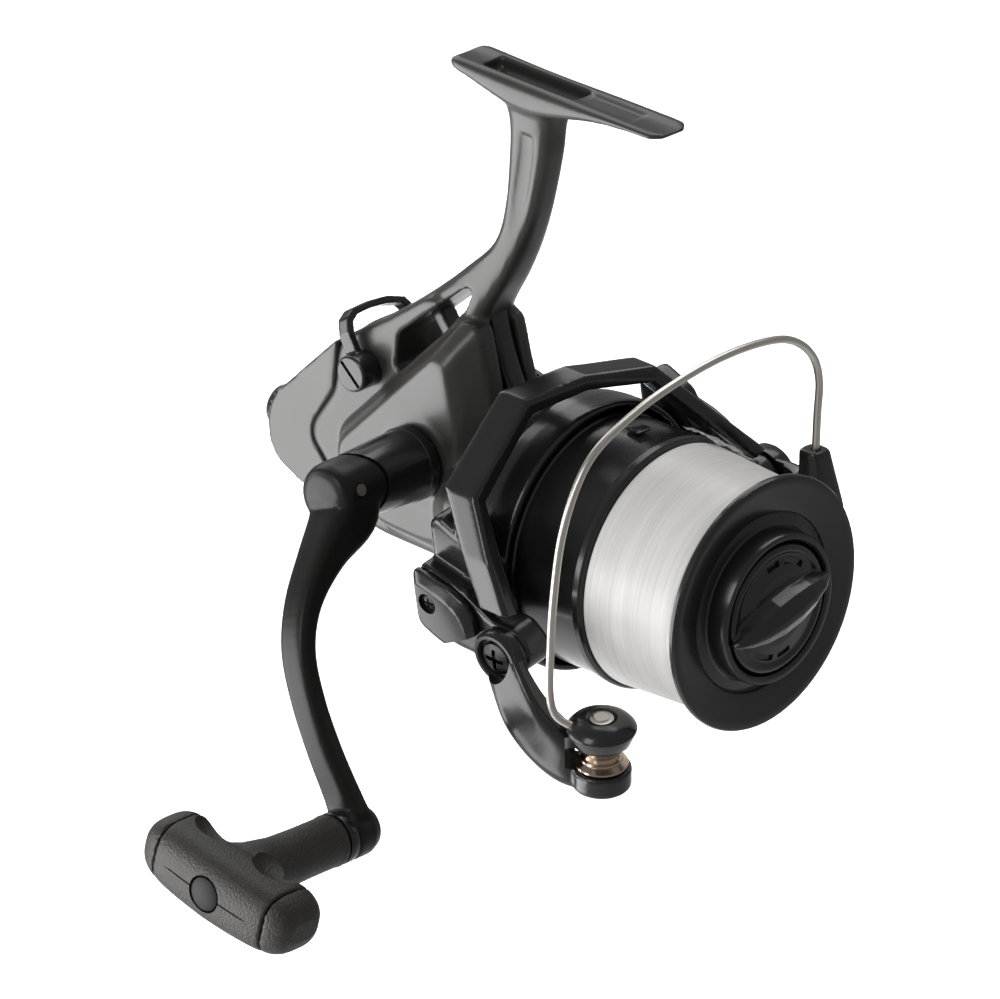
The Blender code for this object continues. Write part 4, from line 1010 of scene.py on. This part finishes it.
@dataclass
class CrankSet:
    """Collar, folding arm and the knob's spindle collar."""

    shop: Workshop
    path: tuple[Pair, ...] = (
        (-42.4, 1.0), (-44.8, 6.4), (-54.4, 13.0), (-63.8, 21.6), (-69.2, 31.6), (-70.4, 43.5), (-69.4, 56.7),
        (-67.4, 69.0), (-66.6, 76.0))
    half_depth: tuple[float, ...] = (7.4, 6.8, 4.6, 3.3, 2.9, 2.9, 3.0, 3.1, 3.4)
    half_width: tuple[float, ...] = (7.4, 6.8, 5.2, 4.4, 4.1, 4.0, 4.1, 4.5, 5.5)

    def collar(self) -> None:
        """Glossy tapered collar with a scooped end for the knuckle."""
        profile = [(0.0, -17.8), (8.7, -17.8), (9.3, -18.3), (9.3, -20.6), (9.05, -20.9), (9.0, -21.6),
                   (8.1, -41.6), (0.0, -41.6)]
        scoop = rod(KNUCKLE_RADIUS + GAP, -14.0, 14.0, fold_place(), 96)
        solid = worked(turned(profile, crank_place(), 96), [scoop])
        self.shop.piece("collar", solid, Slot.BLACK, Body.CRANK, ["crank_collar"])

    def arm(self) -> None:
        """Bowed arm, round hub and eye."""
        rows = [(x, s, d, w) for (x, s), d, w in zip(self.path, self.half_depth, self.half_width)]
        path = smooth_path(rows, 5)
        rings = []
        for i, (x, along, deep, wide) in enumerate(path):
            after = path[min(i + 1, len(path) - 1)]
            before = path[max(i - 1, 0)]
            run = Vector((after[0] - before[0], 0.0, 0.0)) + ARM_AXIS * (after[1] - before[1])
            side = run.normalized().cross(FOLD_AXIS)
            centre = CRANK_CENTRE + Vector((x, 0.0, 0.0)) + ARM_AXIS * along
            rings.append(oval(side, FOLD_AXIS, centre, deep, wide, 4.2, 32))
        hub = turned([(0.0, -33.0), (8.0, -33.0), (8.15, -43.0), (8.0, -46.6), (7.2, -48.6), (5.2, -49.5),
                      (0.0, -49.9)], crank_place(), 72)
        outside = turned([(KNUCKLE_RADIUS, 15.0), (30.0, 15.0), (30.0, -15.0), (KNUCKLE_RADIUS, -15.0)],
                         fold_place(), 96)
        hub = worked(hub, [outside])
        eye_place = Matrix.Translation(ARM_AXIS * ARM_LENGTH) @ crank_place()
        eye = turned([(0.0, -61.4), (3.4, -61.6), (5.4, -63.0), (6.4, -65.6), (6.5, -70.2), (6.1, -70.95),
                      (0.0, -70.95)], eye_place, 56)
        solid = worked(Solid().absorb(loft(rings), hub, eye), (), 0.46, 4)
        eye_face = rod(9.5, -90.0, -70.9, eye_place, 32)
        solid = worked(solid, [eye_face, rod(1.75, -20.0, 20.0, fold_place(), 28)])
        self.shop.piece("folding_arm", solid, Slot.BLACK, Body.HANDLE, ["handle_arm"], 45.0, ARM_PAINT.make())
        ring = turned([(6.3, -71.3), (6.5, -71.7), (6.5, -73.6), (6.3, -74.0), (2.7, -74.0), (2.7, -71.3)],
                      eye_place, 56)
        self.shop.piece("spindle_collar", ring, Slot.BLACK, Body.HANDLE, ["knob_collar"])

    def build(self) -> None:
        """Build the crank's outside."""
        self.collar()
        self.arm()


@dataclass
class GripKnob:
    """T-shaped knob, wider at its wings, with thumb dimples and a badge."""

    shop: Workshop
    tilt: float = math.radians(11.8)
    outer: float = -118.8
    half_length: float = 24.0
    seam: float = 17.6

    def bar_rings(self, low: float, high: float) -> list[list[Vector]]:
        """Sections of the cross bar between two places along it."""
        centre = CRANK_CENTRE + ARM_AXIS * ARM_LENGTH
        along = Vector((0.0, math.cos(self.tilt), math.sin(self.tilt)))
        up = Vector((0.0, -math.sin(self.tilt), math.cos(self.tilt)))
        across = Vector((-1.0, 0.0, 0.0))
        rings = []
        count = max(6, int(abs(high - low) / 1.2))
        for k in range(count + 1):
            s = low + (high - low) * k / count
            t = min(1.0, abs(s) / self.half_length)
            end = math.sqrt(max(0.004, 1.0 - t ** 7))
            inner = -103.8 + 3.2 * min(1.0, (abs(s) / 17.0) ** 2)
            outer = self.outer + 1.8 * t ** 2
            deep = (inner - outer) / 2.0 * (0.55 + 0.45 * end)
            tall = 8.9 * (0.30 + 0.70 * end) * (1.0 - 0.06 * t)
            middle = centre + Vector(((inner + outer) / 2.0, 0.0, 0.0)) + along * s
            rings.append(oval(across, up, middle, deep, tall, 3.0, 40))
        return rings

    def build(self) -> None:
        """Grip, wing caps and badge."""
        place = Matrix.Translation(ARM_AXIS * ARM_LENGTH) @ crank_place()
        stem = turned([(0.0, -74.35), (6.2, -74.35), (6.55, -74.9), (6.6, -76.0), (6.3, -76.4), (6.35, -77.0),
                       (6.4, -86.0), (6.7, -94.0), (7.8, -101.0), (8.4, -109.0), (0.0, -109.0)], place, 56)
        bar = loft(self.bar_rings(-self.seam, self.seam))
        blend = ball(CRANK_CENTRE + ARM_AXIS * ARM_LENGTH + Vector((-104.4, 0.0, 0.0)), (7.5, 12.0, 7.8))
        skin = worked(Solid().absorb(stem, bar, blend), (), 0.5, 5)
        cuts = [rod(4.75, -130.0, -116.6, place, 40)]
        along = Vector((0.0, math.cos(self.tilt), math.sin(self.tilt)))
        up = Vector((0.0, -math.sin(self.tilt), math.cos(self.tilt)))
        centre = CRANK_CENTRE + ARM_AXIS * ARM_LENGTH
        for side in (-1.0, 1.0):
            dimple = ball((0.0, 0.0, 0.0), (7.0, 7.8, 4.6))
            spot = centre + Vector((-103.6, 0.0, 0.0)) + along * (side * 9.6) + up * 9.6
            cuts.append(dimple.moved(Matrix.Translation(spot)))
        skin = worked(skin, cuts)
        groove = block((-0.22, -self.seam, -0.5), (0.22, self.seam, 0.5))
        turn = standing(centre + Vector((self.outer + 0.2, 0.0, 0.0)), (-1.0, 0.0, 0.0), up)
        skin = worked(skin, [groove.moved(turn)])
        self.shop.piece("grip", skin, Slot.RUBBER, Body.KNOB, ["knob_grip"], 50.0)
        for name, side in (("knob_end_rear", 1.0), ("knob_end_front", -1.0)):
            rings = self.bar_rings(side * (self.seam + GAP), side * self.half_length)
            end = worked(loft(rings), (), 0.5, 4)
            self.shop.piece(name.replace("knob_end", "wing_cap"), end, Slot.RUBBER, Body.KNOB, [name], 50.0)
        badge = turned([(0.0, -119.1), (3.0, -119.0), (4.1, -118.5), (4.4, -117.8), (4.4, -116.95),
                        (0.0, -116.95)], place, 48)
        satin = MouldedPlastic("badge_black", rough=0.5, coat=0.0, specular=0.25).make()
        self.shop.piece("badge", badge, Slot.BLACK, Body.KNOB, ["knob_badge"], finish=satin)


# ---------------------------------------------------------------- rotor and bail


@dataclass
class Rotor:
    """Cup, arms, brace, covers and screws."""

    shop: Workshop
    cup_radius: float = 34.0

    def brace(self) -> Solid:
        """Polygonal brace over the spool, with crisp corners."""
        corners = ((-44.2, 45.0, -3.0), (-43.6, 51.6, 8.0), (-39.6, 61.4, 20.4), (-22.0, 62.0, 38.6),
                   (-7.0, 57.0, 42.0), (9.6, 50.4, 41.4), (40.6, 43.0, 13.4))
        rings = []
        sizes = ((2.7, 4.6), (2.7, 4.8), (2.7, 5.2), (2.4, 4.8), (2.2, 4.4), (2.2, 4.2), (2.6, 4.0))
        points = [Vector(c) for c in corners]
        for i, (point, (radial, deep)) in enumerate(zip(points, sizes)):
            outward = Vector((point.x, 0.0, point.z)).normalized()
            if i == 0:
                outward = Vector((-1.0, 0.0, 0.0))
            rings.append(oval(outward, Y_AXIS, point, radial, deep, 7.0, 28))
        return loft(rings)

    def arm(self, side: float) -> Solid:
        """One arm: the flank outside the skirt and its root on the cup."""
        lower = [(-26.4, -1.0), (-26.6, 15.6), (-15.9, 13.0), (-9.4, 9.6), (-4.0, 6.6), (2.2, 6.6),
                 (6.0, 3.4), (6.8, 0.0), (6.0, -3.4), (2.2, -6.4), (-7.0, -5.6), (-18.0, -4.6)]
        flank = [(x, y * side) for x, y in lower]
        solid = plate(rounded_outline(flank, 1.4, 2), 37.6, 45.7, pivot_place(side)).eased(0.8, 2)
        root = [(-26.6, 14.0), (-26.6, -4.0), (-14.0, -6.0), (-12.0, 12.0)]
        wedge = plate([(x, y * side) for x, y in root], 29.0, 45.0, pivot_place(side)).eased(1.0, 2)
        rise = [(-26.6, 12.0), (-26.6, 24.6), (-23.4, 27.2), (-15.0, 23.0), (-10.0, 14.0), (-10.0, 6.0)]
        shoulder = plate([(x, y * side) for x, y in rise], 33.0, 41.2, pivot_place(side)).eased(1.4, 2)
        return solid.absorb(wedge, shoulder)

    def build(self) -> None:
        """Build the rotor's pieces."""
        cup = turned([(7.4, 69.4), (27.0, 69.4), (31.6, 67.0), (33.6, 63.6), (self.cup_radius, 60.0),
                      (self.cup_radius, 54.0), (33.6, 53.2), (32.3, 53.2), (32.1, 62.6), (28.0, 66.0),
                      (10.6, 66.0), (10.6, 62.2), (7.4, 62.2)], ALONG_Y, 128)
        skin = Solid().absorb(cup, self.brace(), self.arm(1.0), self.arm(-1.0))
        holes = [rod(2.5, 30.0, 50.0, pivot_place(side), 24) for side in (1.0, -1.0)]
        solid = worked(skin, (), 0.55, 3)
        solid = worked(solid, holes)
        self.shop.piece("rotor_frame", solid, Slot.BLACK, Body.ROTOR, ["rotor"], 45.0)
        self.covers()

    def covers(self) -> None:
        """Arm covers with a ridge, their screws and the pivot screws."""
        dark = DARK_STEEL.make()
        for name, side in (("near", 1.0), ("far", -1.0)):
            lower = [(-26.6, -0.6), (-26.9, 15.4), (-15.9, 12.8), (-10.4, 10.2), (-8.2, 5.4), (-7.8, 0.0),
                     (-8.2, -4.6), (-18.0, -4.0)]
            ridge = [(-25.2, 1.0), (-25.4, 12.6), (-15.4, 9.8), (-11.8, 7.4), (-9.8, 3.6), (-9.4, 0.4),
                     (-9.8, -2.6), (-18.0, -2.4)]
            place = pivot_place(side)
            rings = []
            for outline, height in ((lower, 46.0), (lower, 47.6), (ridge, 49.2)):
                rounded = rounded_outline([(x, y * side) for x, y in outline], 2.2, 4)
                rings.append([place @ Vector((x, y, height)) for x, y in rounded])
            cover = worked(loft(rings), (), 0.34, 4)
            seat = place @ Matrix.Translation((-21.7, 7.4 * side, 0.0))
            cuts = [rod(2.7, 47.9, 60.0, seat, 32), rod(8.1, 40.0, 60.0, place, 64)]
            if side > 0.0:
                flipped_arm = [(-4.0, 4.5), (-28.0, -7.7), (-28.0, -20.0), (-4.0, -20.0)]
                cuts.append(plate(flipped_arm, 40.0, 60.0, place))
            cover = worked(cover, cuts)
            self.shop.piece(f"arm_cover_{name}_shell", cover, Slot.BLACK, Body.ROTOR, [f"arm_cover_{name}"],
                            40.0)
            head = cross_screw(2.0, 0.8, seat @ Matrix.Translation((0.0, 0.0, 47.95)))
            self.shop.piece(f"arm_screw_{name}", head, Slot.STEEL, Body.ROTOR, [f"cover_screw_{name}"],
                            finish=dark)
            pivot = Solid().absorb(cross_screw(4.4, 1.7, place @ Matrix.Translation((0.0, 0.0, 48.62))),
                                   rod(2.0, 40.0, 48.7, place, 24))
            self.shop.piece(f"pivot_screw_{name}", pivot, Slot.STEEL, Body.ROTOR,
                            [f"bail_pivot_screw_{name}"], finish=dark)


@dataclass
class Bail:
    """Bail arm, wire, holder and the roller's stack."""

    shop: Workshop
    wire_radius: float = 1.0
    wire_points: tuple[Triple, ...] = (
        (-45.4, 16.6, -23.6), (-47.4, 18.6, -22.8), (-49.4, 21.4, -20.4), (-50.2, 22.6, -15.0),
        (-50.3, 22.8, -4.5), (-50.0, 22.8, 8.0), (-48.0, 22.8, 24.0), (-43.2, 22.7, 36.6),
        (-36.2, 22.6, 44.2), (-22.6, 22.6, 49.8), (-9.7, 22.6, 52.8), (3.4, 22.6, 54.5), (16.0, 22.6, 54.6),
        (27.2, 22.6, 53.0), (34.6, 22.6, 49.4), (39.6, 22.6, 44.0), (41.7, 22.6, 37.4), (41.5, 22.6, 29.0),
        (41.5, 22.6, 18.0))

    def ring(self, side: float) -> Solid:
        """Raised ring round a pivot screw."""
        profile = [(6.9, 46.2), (6.95, 49.4), (6.3, 50.2), (5.5, 50.2), (5.1, 49.6), (5.0, 48.5), (2.6, 48.5),
                   (2.6, 46.2)]
        return turned(profile, pivot_place(side), 56)

    @staticmethod
    def limb(rows: Sequence[Sequence[float]], hint: Vector, squareness: float, count: int) -> Solid:
        """Loft a lever of the bail.

        Args:
            rows: place, half width and half thickness of each section.
            hint: direction of the thickness.
            squareness: the sections' superellipse exponent.
            count: points round a section.

        Returns:
            The lever, from its pivot on.
        """
        path = smooth_path(rows, 5)
        rings = []
        for i, row in enumerate(path):
            after = Vector(path[min(i + 1, len(path) - 1)][:3])
            before = Vector(path[max(i - 1, 0)][:3])
            across, up = axes_of(after - before, hint)
            rings.append(oval(across, up, Vector(row[:3]), row[4], row[3], squareness, count))
        return loft(rings)

    @staticmethod
    def disc(side: float, radius: float) -> Solid:
        """Disc of a lever on its pivot."""
        return turned([(0.0, 48.9), (radius, 48.9), (radius, 46.2), (0.0, 46.2)], pivot_place(side), 48)

    @staticmethod
    def pivot_cuts(side: float) -> list[Solid]:
        """Room for the rotor's arm, the raised ring and the pivot screw."""
        place = pivot_place(side)
        return [rod(9.2, 30.0, 46.15, place), rod(5.25, 48.3, 60.0, place), rod(2.6, 40.0, 60.0, place)]

    def arm(self) -> None:
        """Arm from the near pivot to the roller's base."""
        rows = ((-46.4, 41.6, -13.8, 5.2, 2.0), (-47.6, 37.0, -18.4, 5.6, 2.5),
                (-47.4, 32.4, -24.2, 6.3, 3.2), (-45.6, 27.6, -29.4, 6.6, 3.6),
                (-43.6, 21.8, -33.6, 6.0, 3.9), (-41.0, 16.4, -35.6, 4.8, 4.2))
        limb = self.limb(rows, Vector((-1.0, 0.0, 0.1)), 4.6, 28)
        roller = standing(ROLLER_CENTRE, ROLLER_AXIS)
        base = turned([(0.0, -3.9), (6.9, -3.9), (7.2, -4.3), (7.2, -8.8), (6.6, -9.4), (0.0, -9.4)], roller,
                      56)
        solid = worked(Solid().absorb(limb, base, self.disc(1.0, 6.8)), (), 0.4, 4)
        cuts = [*self.pivot_cuts(1.0), rod(8.8, -3.85, 3.4, roller), rod(5.5, -5.0, -3.0, roller)]
        solid = worked(solid, cuts)
        self.shop.piece("bail_arm_shell", Solid().absorb(solid, self.ring(1.0)), Slot.BLACK, Body.BAIL,
                        ["bail_arm"], 45.0)

    def holder(self) -> None:
        """Far lever with the socket that takes the wire."""
        rows = ((45.6, 41.4, 5.8, 5.4, 1.9), (46.2, 35.0, 6.6, 4.8, 2.0), (45.0, 28.6, 7.4, 4.4, 2.6),
                (42.8, 23.6, 9.6, 4.2, 3.2))
        limb = self.limb(rows, Vector((1.0, 0.0, 0.2)), 4.0, 24)
        column = []
        for level, wide, deep in ((4.0, 4.9, 4.6), (9.0, 4.3, 4.2), (15.0, 3.6, 3.6), (19.6, 3.2, 3.1),
                                  (20.2, 2.8, 2.7)):
            centre = Vector((42.2 - 0.2 * (level - 16.0), 22.9, level))
            column.append(oval(X_AXIS, Y_AXIS, centre, wide, deep, 4.0, 24))
        solid = worked(Solid().absorb(limb, loft(column), self.disc(-1.0, 6.6)), (), 0.42, 4)
        socket = rod(1.3, 14.0, 24.0, Matrix.Translation((41.5, 22.6, 0.0)), 20)
        solid = worked(solid, [*self.pivot_cuts(-1.0), socket])
        self.shop.piece("wire_holder", Solid().absorb(solid, self.ring(-1.0)), Slot.BLACK, Body.BAIL,
                        ["bail_holder"], 45.0)

    def build(self) -> None:
        """Build the bail's pieces."""
        self.arm()
        self.holder()
        path = smooth_path(self.wire_points, 6)
        wire = tube(path, [self.wire_radius] * len(path), Vector((0.1, 1.0, 0.2)), 1.0, 2.0, 14)
        self.shop.piece("wire", wire, Slot.STEEL, Body.BAIL, ["bail_wire"])
        roller = standing(ROLLER_CENTRE, ROLLER_AXIS)
        groove = [(2.2, 2.5), (5.3, 2.5), (5.5, 2.1), (5.0, 1.6), (4.2, 0.8), (4.0, -0.2), (4.4, -0.9),
                  (5.1, -1.2), (5.2, -1.6), (4.9, -1.9), (5.6, -2.4), (6.3, -2.8), (6.4, -3.2), (6.0, -3.5),
                  (2.2, -3.5)]
        self.shop.piece("roller", turned(groove, roller, 64), Slot.BRONZE, Body.ROLLER, ["line_roller"])
        cap = [(3.2, 9.2), (3.8, 9.7), (5.4, 9.5), (7.2, 8.5), (8.3, 7.3), (8.5, 6.8), (8.4, 6.4), (7.7, 4.8),
               (7.1, 3.2), (6.8, 2.9), (2.2, 2.9), (2.2, 8.6), (3.2, 8.6)]
        self.shop.piece("roller_cap_shell", turned(cap, roller, 64), Slot.BLACK, Body.BAIL, ["roller_cap"])
        pin = [(0.0, 9.95), (1.9, 9.95), (2.3, 9.6), (2.9, 9.5), (2.9, 8.9), (1.6, 8.7), (1.6, -7.2),
               (0.0, -7.2)]
        self.shop.piece("roller_screw", turned(pin, roller, 40), Slot.STEEL, Body.BAIL, ["roller_pin"])


# ---------------------------------------------------------------- spool


@dataclass
class SpoolHead:
    """Long-cast spool, its line and the drag knob."""

    shop: Workshop
    lip: float = 32.0
    wraps: int = 46
    bar_turn: float = math.radians(16.0)

    def spool(self) -> None:
        """Skirt, drum, lip and drag housing in one turned skin."""
        profile = [(30.1, 56.8), (30.9, 56.0), (30.9, 53.4), (30.5, 53.0), (30.5, 51.4), (30.8, 51.0),
                   (30.8, 34.4), (31.0, 33.8), (31.5, 33.4), (31.5, 31.9), (31.0, 31.2), (22.0, 31.0),
                   (22.0, 3.2), (29.6, 2.9), (31.3, 2.4), (31.9, 1.7), (32.0, 0.9), (31.7, 0.3),
                   (31.0, 0.05), (29.4, 0.25), (26.0, 0.8), (23.6, 1.1), (22.9, 1.3), (22.5, 1.9),
                   (22.1, 2.1), (19.7, 1.5), (19.3, 1.1), (19.1, -3.3), (18.8, -4.0), (18.2, -4.2),
                   (17.5, -4.1), (17.0, -3.6), (16.9, 8.0), (16.9, 16.0), (4.2, 16.0), (4.2, 40.0),
                   (7.4, 40.0), (7.4, 19.0), (20.0, 19.0), (20.0, 30.0), (29.0, 34.0), (29.0, 56.8)]
        solid = turned(profile, ALONG_Y, 160)
        self.shop.piece("spool_shell", solid, Slot.BLACK, Body.SPOOL, ["spool"], 30.0)
        clip = plate(rounded_outline([(-2.4, 40.2), (2.4, 40.2), (2.0, 45.0), (-2.0, 45.0)], 0.8, 4),
                     31.2, 31.95).eased(0.25, 2)
        self.shop.piece("line_clip_tab", clip, Slot.BLACK, Body.SPOOL, ["line_clip"])

    def line(self) -> None:
        """Wound line with a ripple for every wrap."""
        rear = 30.6
        front = 3.7
        pitch = (rear - front) / self.wraps
        profile = []
        for k in range(self.wraps * 2 + 1):
            along = rear - pitch * k / 2.0
            t = (along - front) / (rear - front)
            radius = 29.1 + 1.35 * t - 0.5 * max(0.0, 1.0 - t * 9.0) ** 2
            profile.append((radius + (0.045 if k % 2 else -0.045), along))
        profile += [(22.4, front), (22.4, rear)]
        self.shop.piece("line_winding", turned(profile, ALONG_Y, 144), Slot.LINE, Body.SPOOL, ["wound_line"],
                        80.0)
        self.tape()

    def tape(self) -> None:
        """Crumpled clear tape that holds the line's end over the rim."""
        solid = Solid()
        columns = 26
        rows = 16
        bmesh.ops.create_grid(solid.mesh, x_segments=columns, y_segments=rows, size=1.0)
        for vert in solid.mesh.verts:
            angle = math.radians(57.0 + vert.co.x * 13.0)
            along = 31.4 + vert.co.y * 5.6 + 1.2 * vert.co.x
            crease = 0.22 * math.sin(9.0 * vert.co.x + 3.0 * vert.co.y) + 0.14 * math.sin(15.0 * vert.co.y)
            lift = 31.75 - 0.75 * max(0.0, -vert.co.y) + crease + 0.4 * max(0.0, vert.co.x) ** 2
            vert.co = Vector((lift * math.cos(angle), along, lift * math.sin(angle)))
        bmesh.ops.recalc_face_normals(solid.mesh, faces=solid.mesh.faces)
        bmesh.ops.solidify(solid.mesh, geom=solid.mesh.faces, thickness=0.09)
        film = ClearTape("clear_tape").make()
        self.shop.piece("line_end_tape", solid, Slot.LINE, Body.SPOOL, (), 180.0, film)

    def drag_knob(self) -> None:
        """Glossy disc with a pointed bar and slots in its face."""
        disc = turned([(0.0, -1.9), (8.0, -1.9), (8.0, 6.6), (9.6, 6.6), (9.6, 2.4), (16.3, 2.4),
                       (16.35, -3.2), (16.0, -3.9), (15.4, -4.2), (14.6, -4.2), (14.1, -3.9), (13.6, -3.7),
                       (9.0, -4.6), (0.0, -5.2)], ALONG_Y, 128)
        turn = Matrix.Rotation(-self.bar_turn, 4, "Y")
        rings = []
        for s, wide, tall in ((-16.9, 0.5, 1.2), (-16.0, 1.1, 2.2), (-13.0, 2.7, 3.9), (-8.5, 4.4, 5.1),
                              (-3.0, 5.5, 5.7), (3.0, 5.5, 5.7), (8.5, 4.4, 5.1), (13.0, 2.7, 3.9),
                              (16.0, 1.1, 2.2), (16.9, 0.5, 1.2)):
            section = [(-wide, 0.0), (-wide * 0.72, -tall * 0.72), (-wide * 0.16, -tall),
                       (wide * 0.16, -tall), (wide * 0.72, -tall * 0.72), (wide, 0.0), (0.0, 1.2)]
            rings.append([turn @ Vector((s, y - 4.2, z)) for z, y in section])
        solid = worked(Solid().absorb(disc, loft(rings)), (), 0.3, 2)
        cuts = [rod(8.0, -1.9, 9.0, ALONG_Y, 48)]
        for start, stop in ((50.0, 84.0), (92.0, 112.0), (230.0, 264.0), (272.0, 292.0)):
            cuts.append(self.arc_slot(start, stop))
        solid = worked(solid, cuts)
        self.shop.piece("drag_dial", solid, Slot.BLACK, Body.DRAG_KNOB, ["drag_knob"], 40.0)

    @staticmethod
    def arc_slot(start: float, stop: float) -> Solid:
        """Shallow curved slot in the dial's face, between two angles in degrees."""
        steps = 8
        angles = [math.radians(start + (stop - start) * k / steps) for k in range(steps + 1)]
        outline = [(12.9 * math.cos(a), 12.9 * math.sin(a)) for a in angles]
        outline += [(11.3 * math.cos(a), 11.3 * math.sin(a)) for a in reversed(angles)]
        return plate(outline, 3.3, 8.0, FRONT)

    def build(self) -> None:
        """Build the spool's pieces."""
        self.spool()
        self.line()
        self.drag_knob()


# ---------------------------------------------------------------- studio


@dataclass
class Studio:
    """Camera, lights and floor."""

    lip: Vector
    across: Vector = field(default_factory=lambda: Vector((0.6801, -0.7323, 0.0339)))
    upward: Vector = field(default_factory=lambda: Vector((0.2800, 0.3022, 0.9112)))
    toward: Vector = field(default_factory=lambda: Vector((-0.6775, -0.6103, 0.4106)))
    eye: Triple = (-3.2440, -2.8358, 1.9642)
    drop: float = 1.25

    def camera(self) -> None:
        """Long-lens camera looking down on the spool's front and the handle's side."""
        data = bpy.data.cameras.new("camera")
        data.sensor_width = 36.0
        data.lens = 720.0
        data.clip_end = 60.0
        data.shift_x = 0.00083
        data.shift_y = 0.00068
        made = bpy.data.objects.new("camera", data)
        turn = Matrix((self.across, self.upward, self.toward)).transposed().to_4x4()
        made.matrix_world = Matrix.Translation(Vector(self.eye) + self.lip) @ turn
        bpy.context.scene.collection.objects.link(made)
        bpy.context.scene.camera = made

    def panel(self, name: str, way: Triple, distance: float, size: Pair, power: float) -> None:
        """Add a softbox that faces the reel.

        Args:
            name: the light's name.
            way: direction from the reel to the light.
            distance: metres from the reel.
            size: width and height in metres.
            power: watts.
        """
        data = bpy.data.lights.new(name, "AREA")
        data.shape = "RECTANGLE"
        data.size, data.size_y = size
        data.energy = power
        made = bpy.data.objects.new(name, data)
        direction = Vector(way).normalized()
        made.location = self.lip + Vector((0.0, 0.06, 0.0)) + direction * distance
        made.rotation_euler = direction.to_track_quat("Z", "Y").to_euler()
        bpy.context.scene.collection.objects.link(made)

    def floor_light(self, name: str, place: Pair, size: float, power: float) -> None:
        """Add a square light that faces the floor beside the reel."""
        data = bpy.data.lights.new(name, "AREA")
        data.shape = "SQUARE"
        data.size = size
        data.energy = power
        made = bpy.data.objects.new(name, data)
        made.location = self.lip + Vector((*place, 0.7 - self.drop))
        bpy.context.scene.collection.objects.link(made)

    def floor(self) -> None:
        """Plain pale floor well below the reel."""
        solid = Solid()
        bmesh.ops.create_grid(solid.mesh, x_segments=2, y_segments=2, size=14.0)
        bmesh.ops.translate(solid.mesh, verts=solid.mesh.verts, vec=(0.0, 0.0, self.lip.z - self.drop))
        recipe = Recipe("pale_floor")
        recipe.set(Base_Color=(0.92, 0.92, 0.92, 1.0), Roughness=0.9, Specular_IOR_Level=0.1)
        mesh = as_mesh(solid, "floor")
        mesh.materials.append(recipe.material)
        made = bpy.data.objects.new("floor", mesh)
        bpy.context.scene.collection.objects.link(made)

    def world(self) -> None:
        """Even white surroundings."""
        made = bpy.data.worlds.new("surroundings")
        made.use_nodes = True
        back = made.node_tree.nodes["Background"]
        back.inputs["Color"].default_value = (1.0, 1.0, 1.0, 1.0)
        back.inputs["Strength"].default_value = 0.24
        bpy.context.scene.world = made
        bpy.context.scene.view_settings.view_transform = "Standard"

    def build(self) -> None:
        """Set the studio up."""
        self.camera()
        self.world()
        self.floor()
        self.panel("left_low_softbox", (-0.72, 0.62, -0.30), 1.5, (1.5, 1.3), 30.0)
        self.panel("top_softbox", (0.5, 0.2, 1.0), 1.6, (1.0, 1.0), 7.0)
        self.panel("key_softbox", (-0.95, 0.0, 0.5), 1.7, (0.6, 0.8), 6.0)
        self.panel("back_fill", (0.4, 1.0, 0.7), 1.8, (1.2, 1.2), 7.0)
        self.floor_light("background_light", (2.06, 1.86), 2.0, 34.0)


def lip_centre() -> Vector:
    """Centre of the spool's front lip, from the frame.

    Returns:
        The point in metres.
    """
    low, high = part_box("wound_line")
    spool_low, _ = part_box("spool")
    housing_proud = 4.2 * MM
    return Vector(((low.x + high.x) / 2.0, spool_low.y + housing_proud, (low.z + high.z) / 2.0))


def main() -> None:
    """Build every piece around the frame."""
    logging.basicConfig(level=logging.INFO, format="%(name)s: %(message)s")
    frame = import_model()
    lip = lip_centre()
    Studio(lip).build()
    shop = Workshop(frame, lip)
    shop.dress_frame()
    for part in (Casing(shop), BaitLever(shop), CrankSet(shop), GripKnob(shop), Rotor(shop), Bail(shop),
                 SpoolHead(shop)):
        part.build()


if __name__ == "__main__":
    main()
